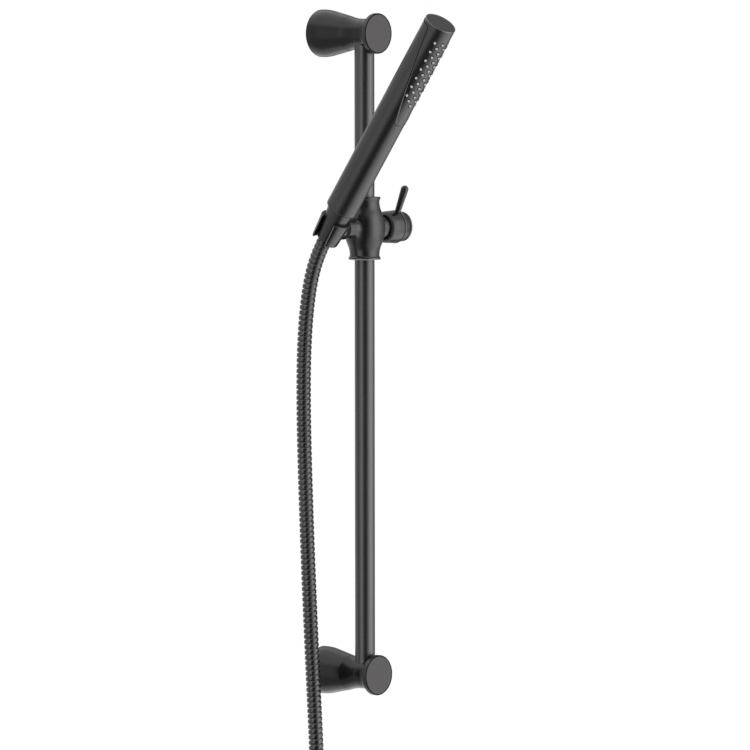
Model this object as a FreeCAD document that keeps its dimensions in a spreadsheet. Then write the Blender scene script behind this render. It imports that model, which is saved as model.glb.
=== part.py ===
import FreeCAD, Part
import math
import os
import re
import Sketcher

# Wall bar hand shower set in a satin black finish: two posts carry a round bar, a slider
# grips it, a tilting cradle on the slider holds the wand handset, and a metal hose hangs
# from the handset.  Millimetres.  +Z is up, the wall is the plane y = 0, the set stands
# out from it towards -Y, and the origin is on the wall midway between the two posts.

SIZES = {
    # bar and its sockets
    "bar_centres": 609.6, "bar_offset": 55, "bar_radius": 9.5, "bar_wall": 1.2,
    "bar_entry": 6, "socket_fit": 0.05, "socket_end_gap": 0.5,
    # posts: a trumpet, thin at the bar and wide at the wall
    "post_front": 13.7, "post_mouth": 17.2, "post_waist": 14, "waist_front": 5, "waist_back": 3,
    "flare_curve": 13.4, "shoulder_start": 18.7, "shoulder_radius": 16.7, "belly_start": 40,
    "belly_radius": 21.4, "post_foot": 22.7, "foot_start": 50, "foot_curve": 50,
    "back_curve": 57, "gasket_thick": 1, "gasket_inset": 0.6,
    # caps on the posts
    "cap_radius": 19.2, "cap_thick": 4, "cap_edge": 0.7, "spigot_radius": 8.5, "spigot_wall": 1.7,
    "spigot_depth": 3, "spigot_room": 0.4, "cap_fit": 0.1,
    # wall brackets
    "bracket_radius": 16.6, "bracket_depth": 13, "bracket_fit": 0.3, "bracket_room": 2.5,
    "dish_radius": 12.5, "dish_depth": 8, "wall_screw_pitch": 14, "wall_screw_hole": 2.3,
    "groove_place": 8, "groove_depth": 0.9, "groove_half": 3.6,
    "set_screw_radius": 2.5, "set_screw_length": 5, "hex_key_radius": 1.3, "hex_key_depth": 2.5,
    "thread_fit": 0.05,
    # screws that lock the bar in the posts, and the plugs that they enter
    "lock_head_radius": 4.2, "lock_head": 2.6, "lock_shank": 2.4, "lock_reach": 3,
    "plug_length": 18, "plug_fit": 0.05,
    # slider on the bar
    "cross_height": 120.5, "slider_half": 29.6, "rim_radius": 15.1, "rim_thick": 1.8,
    "rim_curve": 3.5, "neck_radius": 14.1, "neck_place": 25.4, "neck_curve": 23.5,
    "belly_edge": 16.06, "belly_half": 16, "belly_curve": 40, "slider_bore": 10.1,
    "bush_length": 13, "bush_outer": 11.9, "bush_fit": 0.05, "bush_lead": 0.6,
    # tilt joint on the left of the slider
    "boss_radius": 9.5, "boss_reach": 29.5, "boss_foot_radius": 13.4, "boss_foot_start": 14,
    "boss_foot_end": 22.5, "boss_foot_curve": 10, "washer_thick": 0.8, "washer_radius": 8.7,
    "detent_radius": 10, "detent_thick": 2.1, "detent_gap": 0.3, "detent_notch": 0.55,
    "detent_count": 30, "pivot_radius": 3, "pivot_depth": 15, "pivot_fit": 0.05,
    "pivot_head": 5, "pivot_head_thick": 1.4, "pivot_key": 2, "pivot_key_depth": 0.9,
    "pivot_seat": 1.3,
    # cradle that holds the cone nut
    "cradle_reach": 48.5, "cradle_top": 12.5, "cradle_bottom": 12, "cradle_top_radius": 14.8,
    "cradle_bottom_radius": 13.1, "cradle_edge": 0.8, "cradle_gap": 0.3, "slot_width": 16,
    "slot_turn": 9, "hub_radius": 9.6,
    # clamp on the right of the slider
    "clamp_boss_radius": 11, "clamp_boss_reach": 23.5, "thrust_thick": 1.2, "thrust_radius": 10.5,
    "thrust_gap": 0.15, "shoe_radius": 6, "shoe_fit": 0.1, "shoe_end": 17, "shoe_rest_gap": 0.05,
    "shoe_room": 1, "screw_tip": 0.8,
    "clamp_screw_radius": 4, "clamp_fit": 0.05, "clamp_screw_end": 46.2,
    "knob_start_radius": 12.3, "knob_shoulder": 14.9, "knob_shoulder_place": 29.2,
    "knob_back_curve": 4.6, "knob_front_curve": 60, "knob_end": 49.6, "knob_end_radius": 14.1,
    "knob_recess": 10.5, "knob_recess_depth": 3.2, "knob_cap_radius": 14.3, "knob_cap_rim": 3,
    "knob_cap_dome": 0.9, "knob_cap_gap": 0.4, "knob_cap_edge": 0.5, "knob_cap_face": 11.8,
    "knob_plug_fit": 0.1, "knob_plug_depth": 1.6,
    "knob_screw_head": 4.4, "knob_screw_thick": 1.3, "knob_screw_shank": 2, "knob_screw_depth": 8,
    "lever_place": 40.5, "lever_turn": 22.5, "lever_root": 9, "lever_root_radius": 2.8,
    "lever_tip_radius": 3.7, "lever_length": 42.7, "lever_fit": 0.05,
    # cone nut, hose end and handset inlet, measured along the handset from the tilt axis
    "handset_lean": 35.4, "face_turn": 7.8, "handset_start": 24, "handset_length": 214.5,
    "nut_bottom": 11, "nut_top_radius": 12.9, "nut_bottom_radius": 8.4, "nut_edge": 0.6,
    "nut_top_gap": 0.2, "thread_radius": 10.3, "thread_gap": 0.1, "swivel_floor": 13,
    "swivel_thick": 1.6, "swivel_radius": 9.8, "stem_radius": 7,
    "stem_fit": 0.1, "stem_end": 5, "stem_bore": 4.5, "inlet_washer_thick": 1.5,
    "inlet_washer_hole": 5, "inlet_flange": 12.8, "inlet_flange_thick": 3.4, "inlet_stem": 9,
    "inlet_stem_length": 18, "inlet_bore": 6.2, "tube_socket": 6, "inlet_gasket_thick": 1,
    "hose_lead": 26,
    # handset
    "handset_radius": 15.15, "shell_wall": 2.1, "shell_floor": 2.5, "shell_edge": 1.6,
    "end_disc": 3.5, "disc_edge": 0.8, "parting_gap": 0.25, "parting_back": 1,
    "parting_start": 5.4, "parting_end": 128, "tongue_end": 107, "tongue_round": 4,
    "tongue_inset": 2.3, "tongue_curve": 5, "face_wall": 2.2, "water_tube_radius": 7,
    "water_tube_wall": 1.2, "tray_radius": 11.2, "tray_top": 6, "tray_drop": 1.6,
    "trough_width": 14, "trough_floor": 1.4, "trough_end": 60, "tray_socket": 84,
    "tray_inlet_radius": 8.6, "tray_inlet_length": 49, "tray_socket_depth": 10, "tray_end": 100,
    "passage_radius": 5.6, "seal_drop": 0.4, "seal_thick": 1.2, "seal_width": 1.4,
    "valve_radius": 6.1, "valve_length": 9, "valve_wall": 1.5, "restrictor_thick": 2.4,
    "restrictor_hole": 1.6, "inner_gap": 0.1, "corner_curve": 2.5,
    # spray nozzles
    "mat_outer": 12.85, "mat_thick": 1.4, "mat_start": 8, "mat_end": 88, "mat_half_angle": 56,
    "nozzle_first": 14.2, "nozzle_pitch": 9.9, "nozzle_step": 15.75, "nozzle_columns": 7,
    "nozzle_rows": 7, "nozzle_root": 1.4, "nozzle_tip": 1.1, "nozzle_stand": 0.8, "nozzle_depth": 1,
    "nozzle_hole": 1.6, "nozzle_bore": 0.35,
    # hose, its stored coil and its supply end
    "hose_radius": 7, "coil_radius": 70, "coil_turns": 2, "coil_pitch": 14.6, "coil_step": 0.05,
    "coil_y": 18.3, "coil_height": -458, "stub_length": 44, "tie_gap": 0.4, "tie_wall": 1.6,
    "tie_width": 9,
    "supply_stem": 17, "supply_nut_flats": 24, "supply_nut_length": 15, "supply_thread": 9.5,
    "supply_nut_floor": 2.9, "supply_washer_thick": 1.8, "supply_relief": 9.9, "supply_relief_drop": 0.2,
}

doc = FreeCAD.newDocument("hand_shower_set")
sheet = doc.addObject("Spreadsheet::Sheet", "Sizes")
for row, (alias, value) in enumerate(SIZES.items(), start=1):
    sheet.set(f"A{row}", alias)
    sheet.set(f"B{row}", str(value))
    sheet.setAlias(f"B{row}", alias)
doc.recompute()

nodes = []

UPRIGHT = FreeCAD.Rotation()
TO_RIGHT = FreeCAD.Rotation(FreeCAD.Vector(0, 1, 0), 90)
TO_WALL = FreeCAD.Rotation(FreeCAD.Vector(1, 0, 0), -90)


def bound(text):
    """The expression with each size written as a reference to its cell."""
    return re.sub(r"[a-z_]+", lambda m: "Sizes." + m.group() if m.group() in SIZES else m.group(), text)


def size(text):
    """The number that an expression of sizes stands for."""
    return float(sheet.evalExpression(bound(text)))


def bind(thing, prop, text):
    thing.setExpression(prop, bound(text))


def put(thing, x="0", y="0", z="0", turn=UPRIGHT):
    """Place a thing at bound coordinates, turned by a rotation."""
    thing.Placement = FreeCAD.Placement(FreeCAD.Vector(size(x), size(y), size(z)), turn)
    for axis, text in (("x", x), ("y", y), ("z", z)):
        if text != "0":
            bind(thing, f"Placement.Base.{axis}", text)
    return thing


def node(thing, label):
    thing.Label = label
    nodes.append(thing)
    return thing


# --- drawing -------------------------------------------------------------------------------

def arc(u, v, radius, side):
    """An outline's vertex that is reached by an arc whose centre is left or right of the way."""
    return (u, v, radius, side)


def arc_between(start, end, radius, side):
    """The arc from start to end, and whether it is stored the other way round."""
    chord = end - start
    middle = (start + end) * 0.5
    left = FreeCAD.Vector(-chord.y, chord.x, 0).normalize()
    depth = math.sqrt(max(radius ** 2 - (chord.Length / 2) ** 2, 0))
    centre = middle + left * (depth if side == "left" else -depth)
    begin = math.atan2(start.y - centre.y, start.x - centre.x)
    finish = math.atan2(end.y - centre.y, end.x - centre.x)
    if side == "right":
        begin, finish = finish, begin
    if finish < begin:
        finish += 2 * math.pi
    circle = Part.Circle(centre, FreeCAD.Vector(0, 0, 1), radius)
    return Part.ArcOfCircle(circle, begin, finish), side == "right"


def draw(sketch, outline):
    """Draw a closed outline and bind every vertex and arc radius to the sizes."""
    spots = [FreeCAD.Vector(size(vertex[0]), size(vertex[1]), 0) for vertex in outline]
    first_ends = []
    last_ends = []
    radii = []
    for index, start in enumerate(spots):
        after = (index + 1) % len(spots)
        target = outline[after]
        if len(target) == 4:
            edge, swapped = arc_between(start, spots[after], size(target[2]), target[3])
            radii.append((index, target[2]))
        else:
            edge, swapped = Part.LineSegment(start, spots[after]), False
        sketch.addGeometry(edge, False)
        first_ends.append(2 if swapped else 1)
        last_ends.append(1 if swapped else 2)
    for index, vertex in enumerate(outline):
        before = index - 1 if index else len(outline) - 1
        sketch.addConstraint(
            Sketcher.Constraint("Coincident", before, last_ends[before], index, first_ends[index]))
        for text, kind, axis in ((vertex[0], "DistanceX", -2), (vertex[1], "DistanceY", -1)):
            if text == "0":
                sketch.addConstraint(Sketcher.Constraint("PointOnObject", index, first_ends[index], axis))
            else:
                number = sketch.addConstraint(
                    Sketcher.Constraint(kind, -1, 1, index, first_ends[index], size(text)))
                bind(sketch, f"Constraints[{number}]", text)
    for index, text in radii:
        number = sketch.addConstraint(Sketcher.Constraint("Radius", index, size(text)))
        bind(sketch, f"Constraints[{number}]", text)


def sketch_on(body, role, name):
    """An empty sketch on one of a body's own origin planes."""
    sketch = body.newObject("Sketcher::SketchObject", name)
    plane = next(item for item in body.Origin.OriginFeatures if item.Role == role)
    sketch.AttachmentSupport = [(plane, "")]
    sketch.MapMode = "FlatFace"
    return sketch


def turned(name, outline):
    """A body turned about its own Z axis from an outline of (radius, height) vertices."""
    body = doc.addObject("PartDesign::Body", name)
    sketch = sketch_on(body, "XZ_Plane", name + "_outline")
    draw(sketch, outline)
    turn = body.newObject("PartDesign::Revolution", name + "_turn")
    turn.Profile = sketch
    turn.ReferenceAxis = (sketch, ["V_Axis"])
    turn.Angle = 360
    return body


def slab(name, outline, thickness, role="YZ_Plane"):
    """A body padded both ways from an outline in one of its own origin planes."""
    body = doc.addObject("PartDesign::Body", name)
    sketch = sketch_on(body, role, name + "_outline")
    draw(sketch, outline)
    pad = body.newObject("PartDesign::Pad", name + "_pad")
    pad.Profile = sketch
    pad.Midplane = True
    bind(pad, "Length", thickness)
    return body


def ring(name, inner, outer, low, high):
    """A turned ring or, with an inner radius of 0, a turned disc."""
    return turned(name, [(inner, low), (outer, low), (outer, high), (inner, high)])


def rod(name, radius, length, x="0", y="0", z="0", turn=UPRIGHT):
    """A cylinder used as a drill or as a boss."""
    cylinder = doc.addObject("Part::Cylinder", name)
    bind(cylinder, "Radius", radius)
    bind(cylinder, "Height", length)
    return put(cylinder, x, y, z, turn)


def cut(name, base, tools):
    """The base less every tool."""
    for number, tool in enumerate(tools, start=1):
        result = doc.addObject("Part::Cut", f"{name}_cut_{number}")
        result.Base = base
        result.Tool = tool
        base = result
    return base


def join(name, pieces):
    result = doc.addObject("Part::MultiFuse", name)
    result.Shapes = pieces
    return result


def overlap(name, first, second):
    result = doc.addObject("Part::Common", name)
    result.Base = first
    result.Tool = second
    return result


def shaped(name, shape):
    """A feature whose shape is worked out with Part's own functions."""
    feature = doc.addObject("Part::Feature", name)
    feature.Shape = shape
    return feature


# --- wall posts ------------------------------------------------------------------------------

POST_Y = "0 - bar_offset"
SOCKET = "(bar_radius + socket_fit)"
SPIGOT_FLOOR = "(0 - post_front + spigot_depth + spigot_room)"
POST_END = "(bar_offset - gasket_thick)"
CAVITY = "(bracket_radius + bracket_fit)"
CAVITY_FLOOR = "(bar_offset - bracket_depth - bracket_room)"
GROOVE = "(bar_offset - groove_place)"


def post_height(side):
    return f"{side} * bar_centres / 2"


def make_post(name, side):
    """A post turned about the line from its cap to the wall; side is 1 at the top, -1 below."""
    blank = turned(name + "_blank", [
        ("0", SPIGOT_FLOOR),
        ("spigot_radius + cap_fit", SPIGOT_FLOOR),
        ("spigot_radius + cap_fit", "0 - post_front"),
        ("post_mouth", "0 - post_front"),
        arc("post_waist", "0 - waist_front", "flare_curve", "right"),
        ("post_waist", "waist_back"),
        arc("shoulder_radius", "shoulder_start", "back_curve", "right"),
        ("belly_radius", "belly_start"),
        arc("post_foot", "foot_start", "foot_curve", "left"),
        ("post_foot", POST_END),
        (CAVITY, POST_END),
        (CAVITY, CAVITY_FLOOR),
        ("0", CAVITY_FLOOR),
    ])
    depth = "bar_entry + socket_end_gap"
    far = f"({depth} + post_foot)"
    start = f"0 - ({depth})" if side > 0 else depth
    way = FreeCAD.Rotation(FreeCAD.Vector(1, 0, 0), -90 if side > 0 else 90)
    socket = rod(name + "_socket", SOCKET, far, y=start, turn=way)
    screw_way = rod(name + "_screw_way", "lock_shank + thread_fit", "post_front", z="0 - post_front")
    set_screw_way = rod(name + "_set_screw_way", "set_screw_radius + thread_fit", "post_foot + 1",
                        z=GROOVE, turn=FreeCAD.Rotation(FreeCAD.Vector(1, 0, 0), -90))
    post = cut(name, blank, [socket, screw_way, set_screw_way])
    return node(put(post, y=POST_Y, z=post_height(side), turn=TO_WALL), name)


def make_cap(name, side):
    """A disc with a ring spigot that snaps into the front of a post over the lock screw."""
    face = "(0 - post_front - cap_thick)"
    back = "0 - post_front"
    cap = turned(name, [
        ("0", face),
        ("cap_radius - cap_edge", face),
        arc("cap_radius", f"{face} + cap_edge", "cap_edge", "left"),
        ("cap_radius", back),
        ("spigot_radius", back),
        ("spigot_radius", f"{back} + spigot_depth"),
        ("spigot_radius - spigot_wall", f"{back} + spigot_depth"),
        ("spigot_radius - spigot_wall", back),
        ("0", back),
    ])
    return node(put(cap, y=POST_Y, z=post_height(side), turn=TO_WALL), name)


def make_bracket(name, side):
    """A dished disc screwed to the wall; the post slips over it and is held by a set screw."""
    front = "(bar_offset - bracket_depth)"
    floor = f"({front} + dish_depth)"
    blank = turned(name + "_blank", [
        ("0", floor),
        ("dish_radius", floor),
        ("dish_radius", front),
        ("bracket_radius", front),
        ("bracket_radius", f"{GROOVE} - groove_half"),
        ("bracket_radius - groove_depth", f"{GROOVE} - groove_half + groove_depth"),
        ("bracket_radius - groove_depth", f"{GROOVE} + groove_half - groove_depth"),
        ("bracket_radius", f"{GROOVE} + groove_half"),
        ("bracket_radius", "bar_offset"),
        ("0", "bar_offset"),
    ])
    holes = [rod(f"{name}_hole_{number}", "wall_screw_hole", "bracket_depth", z=front,
                 x=f"{way} * wall_screw_pitch / 2")
             for number, way in enumerate((-1, 1))]
    bracket = cut(name, blank, holes)
    return node(put(bracket, y=POST_Y, z=post_height(side), turn=TO_WALL), name)


def make_gasket(name, side):
    gasket = ring(name, f"{CAVITY} + gasket_inset", "post_foot - gasket_inset", POST_END, "bar_offset")
    return node(put(gasket, y=POST_Y, z=post_height(side), turn=TO_WALL), name)


def make_pair(name, make_one):
    """Two identical fasteners, one at each post, as separate solids in one node."""
    pair = doc.addObject("Part::Compound", name)
    pair.Links = [make_one(f"{name}_{number}", side) for number, side in enumerate((1, -1))]
    return node(pair, name)


def set_screw(name, side):
    """A hexagon socket grub screw, pointing up into the bracket's groove from below."""
    inner = "(bracket_radius - groove_depth + thread_fit)"
    blank = rod(name + "_blank", "set_screw_radius", "set_screw_length")
    key = rod(name + "_key", "hex_key_radius", "hex_key_depth")
    screw = cut(name, blank, [key])
    return put(screw, y=f"0 - bar_offset + {GROOVE}",
               z=f"{post_height(side)} - {inner} - set_screw_length")


def lock_screw(name, side):
    """A screw under the cap that goes through the post's front into the bar's end plug."""
    head_front = f"({SPIGOT_FLOOR} - lock_head)"
    screw = turned(name, [
        ("0", f"{head_front} + hex_key_depth / 2"),
        ("hex_key_radius", f"{head_front} + hex_key_depth / 2"),
        ("hex_key_radius", head_front),
        ("lock_head_radius", head_front),
        ("lock_head_radius", SPIGOT_FLOOR),
        ("lock_shank", SPIGOT_FLOOR),
        ("lock_shank", "lock_reach"),
        ("0", "lock_reach"),
    ])
    return put(screw, y=POST_Y, z=post_height(side), turn=TO_WALL)


# --- bar ---------------------------------------------------------------------------------------

BAR_HALF = "(bar_centres / 2 + bar_entry)"
BAR_BORE = "(bar_radius - bar_wall)"


def make_bar():
    """The round tube, drilled at the front of each end for the lock screws."""
    tube = ring("bar_blank", BAR_BORE, "bar_radius", f"0 - {BAR_HALF}", BAR_HALF)
    holes = [rod(f"bar_hole_{number}", "lock_shank + thread_fit", "bar_wall + 2",
                 y="0 - bar_radius - 1", z=f"{side} * bar_centres / 2", turn=TO_WALL)
             for number, side in enumerate((1, -1))]
    return node(put(cut("bar_tube", tube, holes), y=POST_Y), "bar_tube")


def make_plug(name, side):
    """A nylon plug in the end of the bar that the lock screw bites into."""
    low = f"({BAR_HALF} - plug_length)" if side > 0 else f"(0 - {BAR_HALF})"
    blank = rod(name + "_blank", f"{BAR_BORE} - plug_fit", "plug_length", z=low)
    hole = rod(name + "_hole", "lock_shank + thread_fit", "bar_radius + lock_reach + thread_fit",
               y="0 - bar_radius", z=post_height(side), turn=TO_WALL)
    return node(put(cut(name, blank, [hole]), y=POST_Y), name)


# --- slider ------------------------------------------------------------------------------------

TO_LEFT = FreeCAD.Rotation(FreeCAD.Vector(0, 1, 0), -90)
BUSH_BORE = "(bush_outer + bush_fit)"


def slider_outline():
    """The right half of the barrel: rim, neck and belly, mirrored about mid-height."""
    return [
        ("0", "0 - slider_half"),
        ("rim_radius", "0 - slider_half"),
        ("rim_radius", "rim_thick - slider_half"),
        arc("neck_radius", "0 - neck_place", "rim_curve", "right"),
        arc("belly_edge", "0 - belly_half", "neck_curve", "right"),
        arc("belly_edge", "belly_half", "belly_curve", "left"),
        arc("neck_radius", "neck_place", "neck_curve", "right"),
        arc("rim_radius", "slider_half - rim_thick", "rim_curve", "right"),
        ("rim_radius", "slider_half"),
        ("0", "slider_half"),
    ]


def make_slider():
    """The barrel with a boss on each side, bored for bar, bushes, shoe, screw and pivot."""
    barrel = turned("slider_barrel", slider_outline())
    left = turned("slider_left_boss", [
        ("0", "0"),
        ("boss_foot_radius", "0"),
        ("boss_foot_radius", "boss_foot_start"),
        arc("boss_radius", "boss_foot_end", "boss_foot_curve", "right"),
        ("boss_radius", "boss_reach"),
        ("0", "boss_reach"),
    ])
    put(left, turn=TO_LEFT)
    right = rod("slider_right_boss", "clamp_boss_radius", "clamp_boss_reach", turn=TO_RIGHT)
    body = join("slider_blank", [barrel, left, right])
    tools = [
        rod("slider_bar_bore", "slider_bore", "2 * slider_half + 2", z="0 - slider_half - 1"),
        rod("slider_low_bush_bore", BUSH_BORE, "bush_length + 1", z="0 - slider_half - 1"),
        rod("slider_top_bush_bore", BUSH_BORE, "bush_length + 1", z="slider_half - bush_length"),
        rod("slider_shoe_bore", "shoe_radius + shoe_fit", "shoe_end + shoe_room", turn=TO_RIGHT),
        rod("slider_screw_bore", "clamp_screw_radius + clamp_fit", "clamp_boss_reach + 1",
            turn=TO_RIGHT),
        rod("slider_pivot_bore", "pivot_radius + pivot_fit", "pivot_depth + 1",
            x="0 - boss_reach + pivot_depth", turn=TO_LEFT),
    ]
    slider = cut("slider_body", body, tools)
    return node(put(slider, y=POST_Y, z="cross_height"), "slider_body")


def make_bush(name, side):
    """A nylon bush in one end of the slider, with a lead at its outer mouth."""
    outer_end = f"{side} * slider_half"
    inner_end = f"{side} * (slider_half - bush_length)"
    bush = turned(name, [
        ("bar_radius + bush_fit", inner_end),
        ("bush_outer", inner_end),
        ("bush_outer", outer_end),
        ("bar_radius + bush_fit + bush_lead", outer_end),
        ("bar_radius + bush_fit", f"{side} * (slider_half - bush_lead)"),
    ])
    return node(put(bush, y=POST_Y, z="cross_height"), name)


def on_cross_axis(thing, label, turn=TO_RIGHT):
    """Put a piece turned about its own Z on the slider's cross axis, Z to the right."""
    return node(put(thing, y=POST_Y, z="cross_height", turn=turn), label)


# --- tilt joint and cradle -----------------------------------------------------------------

WASHER_FACE = "(0 - boss_reach - washer_thick)"
FIXED_FACE = f"({WASHER_FACE} - detent_thick)"
MOVING_BACK = f"({FIXED_FACE} - detent_gap)"
HUB_FACE = f"({MOVING_BACK} - detent_thick)"
PIVOT_HOLE = "pivot_radius + pivot_fit"


def make_detent(name, low, high):
    """A ring with a notched edge, clicked round by a spring in steps of one notch."""
    body = ring(name, PIVOT_HOLE, "detent_radius", low, high)
    notch = sketch_on(body, "XY_Plane", name + "_notch")
    notch.addGeometry(Part.Circle(FreeCAD.Vector(size("detent_radius"), 0, 0),
                                  FreeCAD.Vector(0, 0, 1), size("detent_notch")), False)
    notch.addConstraint(Sketcher.Constraint("PointOnObject", 0, 3, -1))
    place = notch.addConstraint(Sketcher.Constraint("DistanceX", -1, 1, 0, 3, size("detent_radius")))
    bind(notch, f"Constraints[{place}]", "detent_radius")
    radius = notch.addConstraint(Sketcher.Constraint("Radius", 0, size("detent_notch")))
    bind(notch, f"Constraints[{radius}]", "detent_notch")
    pocket = body.newObject("PartDesign::Pocket", name + "_pocket")
    pocket.Profile = notch
    pocket.Type = "ThroughAll"
    pocket.Midplane = True
    doc.recompute()
    pattern = body.newObject("PartDesign::PolarPattern", name + "_pattern")
    pattern.Originals = [pocket]
    pattern.Axis = (notch, ["N_Axis"])
    pattern.Angle = 360
    bind(pattern, "Occurrences", "detent_count")
    body.Tip = pattern
    return on_cross_axis(body, name)


def make_pivot():
    """The bolt from inside the cradle, through both rings, into the slider's left boss."""
    seat = f"({HUB_FACE} - pivot_seat)"
    top = f"({seat} - pivot_head_thick)"
    bolt = turned("pivot_bolt", [
        ("0", f"{top} + pivot_key_depth"),
        ("pivot_key", f"{top} + pivot_key_depth"),
        ("pivot_key", top),
        ("pivot_head", top),
        ("pivot_head", seat),
        ("pivot_radius", seat),
        ("pivot_radius", "0 - boss_reach + pivot_depth - 1"),
        ("0", "0 - boss_reach + pivot_depth - 1"),
    ])
    return on_cross_axis(bolt, "pivot_bolt")


LEAN = FreeCAD.Rotation(FreeCAD.Vector(1, 0, 0), size("handset_lean"))
TURNED_LEAN = LEAN.multiply(FreeCAD.Rotation(FreeCAD.Vector(0, 0, 1), size("face_turn")))
NUT_TOP = "(handset_start - nut_top_gap)"
NUT_SLOPE = f"((nut_top_radius - nut_bottom_radius) / (nut_bottom + {NUT_TOP}))"


def nut_radius(height):
    """The cone nut's outer radius at a height along the handset's axis."""
    return f"(nut_bottom_radius + (nut_bottom + {height}) * {NUT_SLOPE})"


def on_handset_axis(thing, label, turn=TURNED_LEAN):
    """Put a piece on the handset's leaning axis, its own Z along it from the tilt axis."""
    return node(put(thing, x="0 - cradle_reach", y=POST_Y, z="cross_height", turn=turn), label)


def make_cradle():
    """A conical C with a slot for the hose, on a round hub that faces the detent rings."""
    low = "(0 - cradle_bottom)"
    cone = turned("cradle_cone", [
        ("0", low),
        ("cradle_bottom_radius - cradle_edge", low),
        arc("cradle_bottom_radius", f"{low} + cradle_edge", "cradle_edge", "left"),
        ("cradle_top_radius", "cradle_top - cradle_edge"),
        arc("cradle_top_radius - cradle_edge", "cradle_top", "cradle_edge", "left"),
        ("0", "cradle_top"),
    ])
    seat = turned("cradle_seat", [
        ("0", f"{low} - 1"),
        (f"{nut_radius(f'({low} - 1)')} + cradle_gap", f"{low} - 1"),
        (f"{nut_radius('(cradle_top + 1)')} + cradle_gap", "cradle_top + 1"),
        ("0", "cradle_top + 1"),
    ])
    reach = f"(cradle_reach + {HUB_FACE})"
    hub = rod("cradle_hub", "hub_radius", reach, turn=TO_RIGHT)
    slot = doc.addObject("Part::Box", "cradle_slot")
    bind(slot, "Length", "cradle_top_radius + 1")
    bind(slot, "Width", "slot_width")
    bind(slot, "Height", "cradle_bottom + cradle_top + 2")
    put(slot, x="slot_width / 2 * sin(180 + slot_turn)", y="0 - slot_width / 2 * cos(180 + slot_turn)",
        z=f"{low} - 1", turn=FreeCAD.Rotation(FreeCAD.Vector(0, 0, 1), 180 + size("slot_turn")))
    tools = [
        seat,
        slot,
        rod("cradle_flat", "2 * cradle_top_radius", "cradle_top_radius", x=reach, turn=TO_RIGHT),
        rod("cradle_head_seat", "pivot_head + pivot_fit", reach, x="0 - pivot_seat", turn=TO_RIGHT),
        rod("cradle_pivot_hole", PIVOT_HOLE, "cradle_reach", turn=TO_RIGHT),
    ]
    cradle = cut("cradle", join("cradle_blank", [cone, hub]), tools)
    return on_handset_axis(cradle, "cradle", LEAN)


# --- clamp ---------------------------------------------------------------------------------------

THRUST_FACE = "(clamp_boss_reach + thrust_thick)"
KNOB_FLOOR = "(knob_end - knob_recess_depth)"
CLAMP_BORE = "clamp_screw_radius + clamp_fit"


def make_shoe():
    """The pad that the clamp screw presses on the bar; its end is hollowed to the bar."""
    blank = rod("shoe_blank", "shoe_radius", "shoe_end", turn=TO_RIGHT)
    bar = rod("shoe_hollow", "bar_radius + shoe_rest_gap", "4 * shoe_radius", z="0 - 2 * shoe_radius")
    return node(put(cut("brake_shoe", blank, [bar]), y=POST_Y, z="cross_height"), "brake_shoe")


def make_clamp_screw():
    start = "(shoe_end + shoe_rest_gap)"
    screw = turned("clamp_screw", [
        ("0", start),
        ("clamp_screw_radius - screw_tip", start),
        ("clamp_screw_radius", f"{start} + screw_tip"),
        ("clamp_screw_radius", "clamp_screw_end"),
        ("knob_screw_shank + thread_fit", "clamp_screw_end"),
        ("knob_screw_shank + thread_fit", "clamp_screw_end - knob_screw_depth"),
        ("0", "clamp_screw_end - knob_screw_depth"),
    ])
    return on_cross_axis(screw, "clamp_screw")


def lever_line(thing):
    """Put a piece on the lever's line, which leans forward from the top of the knob."""
    lean = FreeCAD.Rotation(FreeCAD.Vector(1, 0, 0), size("lever_turn"))
    return put(thing, x="lever_place", y=POST_Y, z="cross_height", turn=lean)


def make_knob():
    """The round knob, recessed at its end for its screw and drilled across for the lever."""
    start = f"({THRUST_FACE} + thrust_gap)"
    blank = turned("knob_blank", [
        (CLAMP_BORE, start),
        ("knob_start_radius", start),
        arc("knob_shoulder", "knob_shoulder_place", "knob_back_curve", "left"),
        arc("knob_end_radius", "knob_end", "knob_front_curve", "left"),
        ("knob_recess", "knob_end"),
        ("knob_recess", KNOB_FLOOR),
        (CLAMP_BORE, KNOB_FLOOR),
    ])
    put(blank, y=POST_Y, z="cross_height", turn=TO_RIGHT)
    root = turned("knob_lever_way", [
        ("0", "lever_root"),
        ("lever_root_radius + lever_fit", "lever_root"),
        ("lever_root_radius + lever_fit", "lever_length"),
        ("0", "lever_length"),
    ])
    return node(cut("clamp_knob", blank, [lever_line(root)]), "clamp_knob")


def make_knob_screw():
    """The screw that draws the knob onto the clamp screw, under the knob's cap."""
    top = f"({KNOB_FLOOR} + knob_screw_thick)"
    screw = turned("knob_screw", [
        ("0", "clamp_screw_end - knob_screw_depth + 1"),
        ("knob_screw_shank", "clamp_screw_end - knob_screw_depth + 1"),
        ("knob_screw_shank", KNOB_FLOOR),
        ("knob_screw_head", KNOB_FLOOR),
        ("knob_screw_head", top),
        ("pivot_key", top),
        ("pivot_key", f"{top} - pivot_key_depth"),
        ("0", f"{top} - pivot_key_depth"),
    ])
    return on_cross_axis(screw, "knob_screw")


def make_knob_cap():
    """The slightly domed end of the knob, plugged into the recess over the screw."""
    rim = "(knob_end + knob_cap_gap)"
    top = f"({rim} + knob_cap_rim)"
    cap = turned("knob_cap", [
        ("0", "knob_end - knob_plug_depth"),
        ("knob_recess - knob_plug_fit", "knob_end - knob_plug_depth"),
        ("knob_recess - knob_plug_fit", rim),
        ("knob_cap_radius - knob_cap_edge", rim),
        ("knob_cap_radius", f"{rim} + knob_cap_edge"),
        ("knob_cap_radius", f"{top} - knob_cap_edge"),
        ("knob_cap_radius - knob_cap_edge", top),
        ("knob_cap_face", top),
        ("knob_cap_face - knob_cap_dome", f"{top} + knob_cap_dome"),
        ("0", f"{top} + knob_cap_dome"),
    ])
    return on_cross_axis(cap, "knob_cap")


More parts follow.
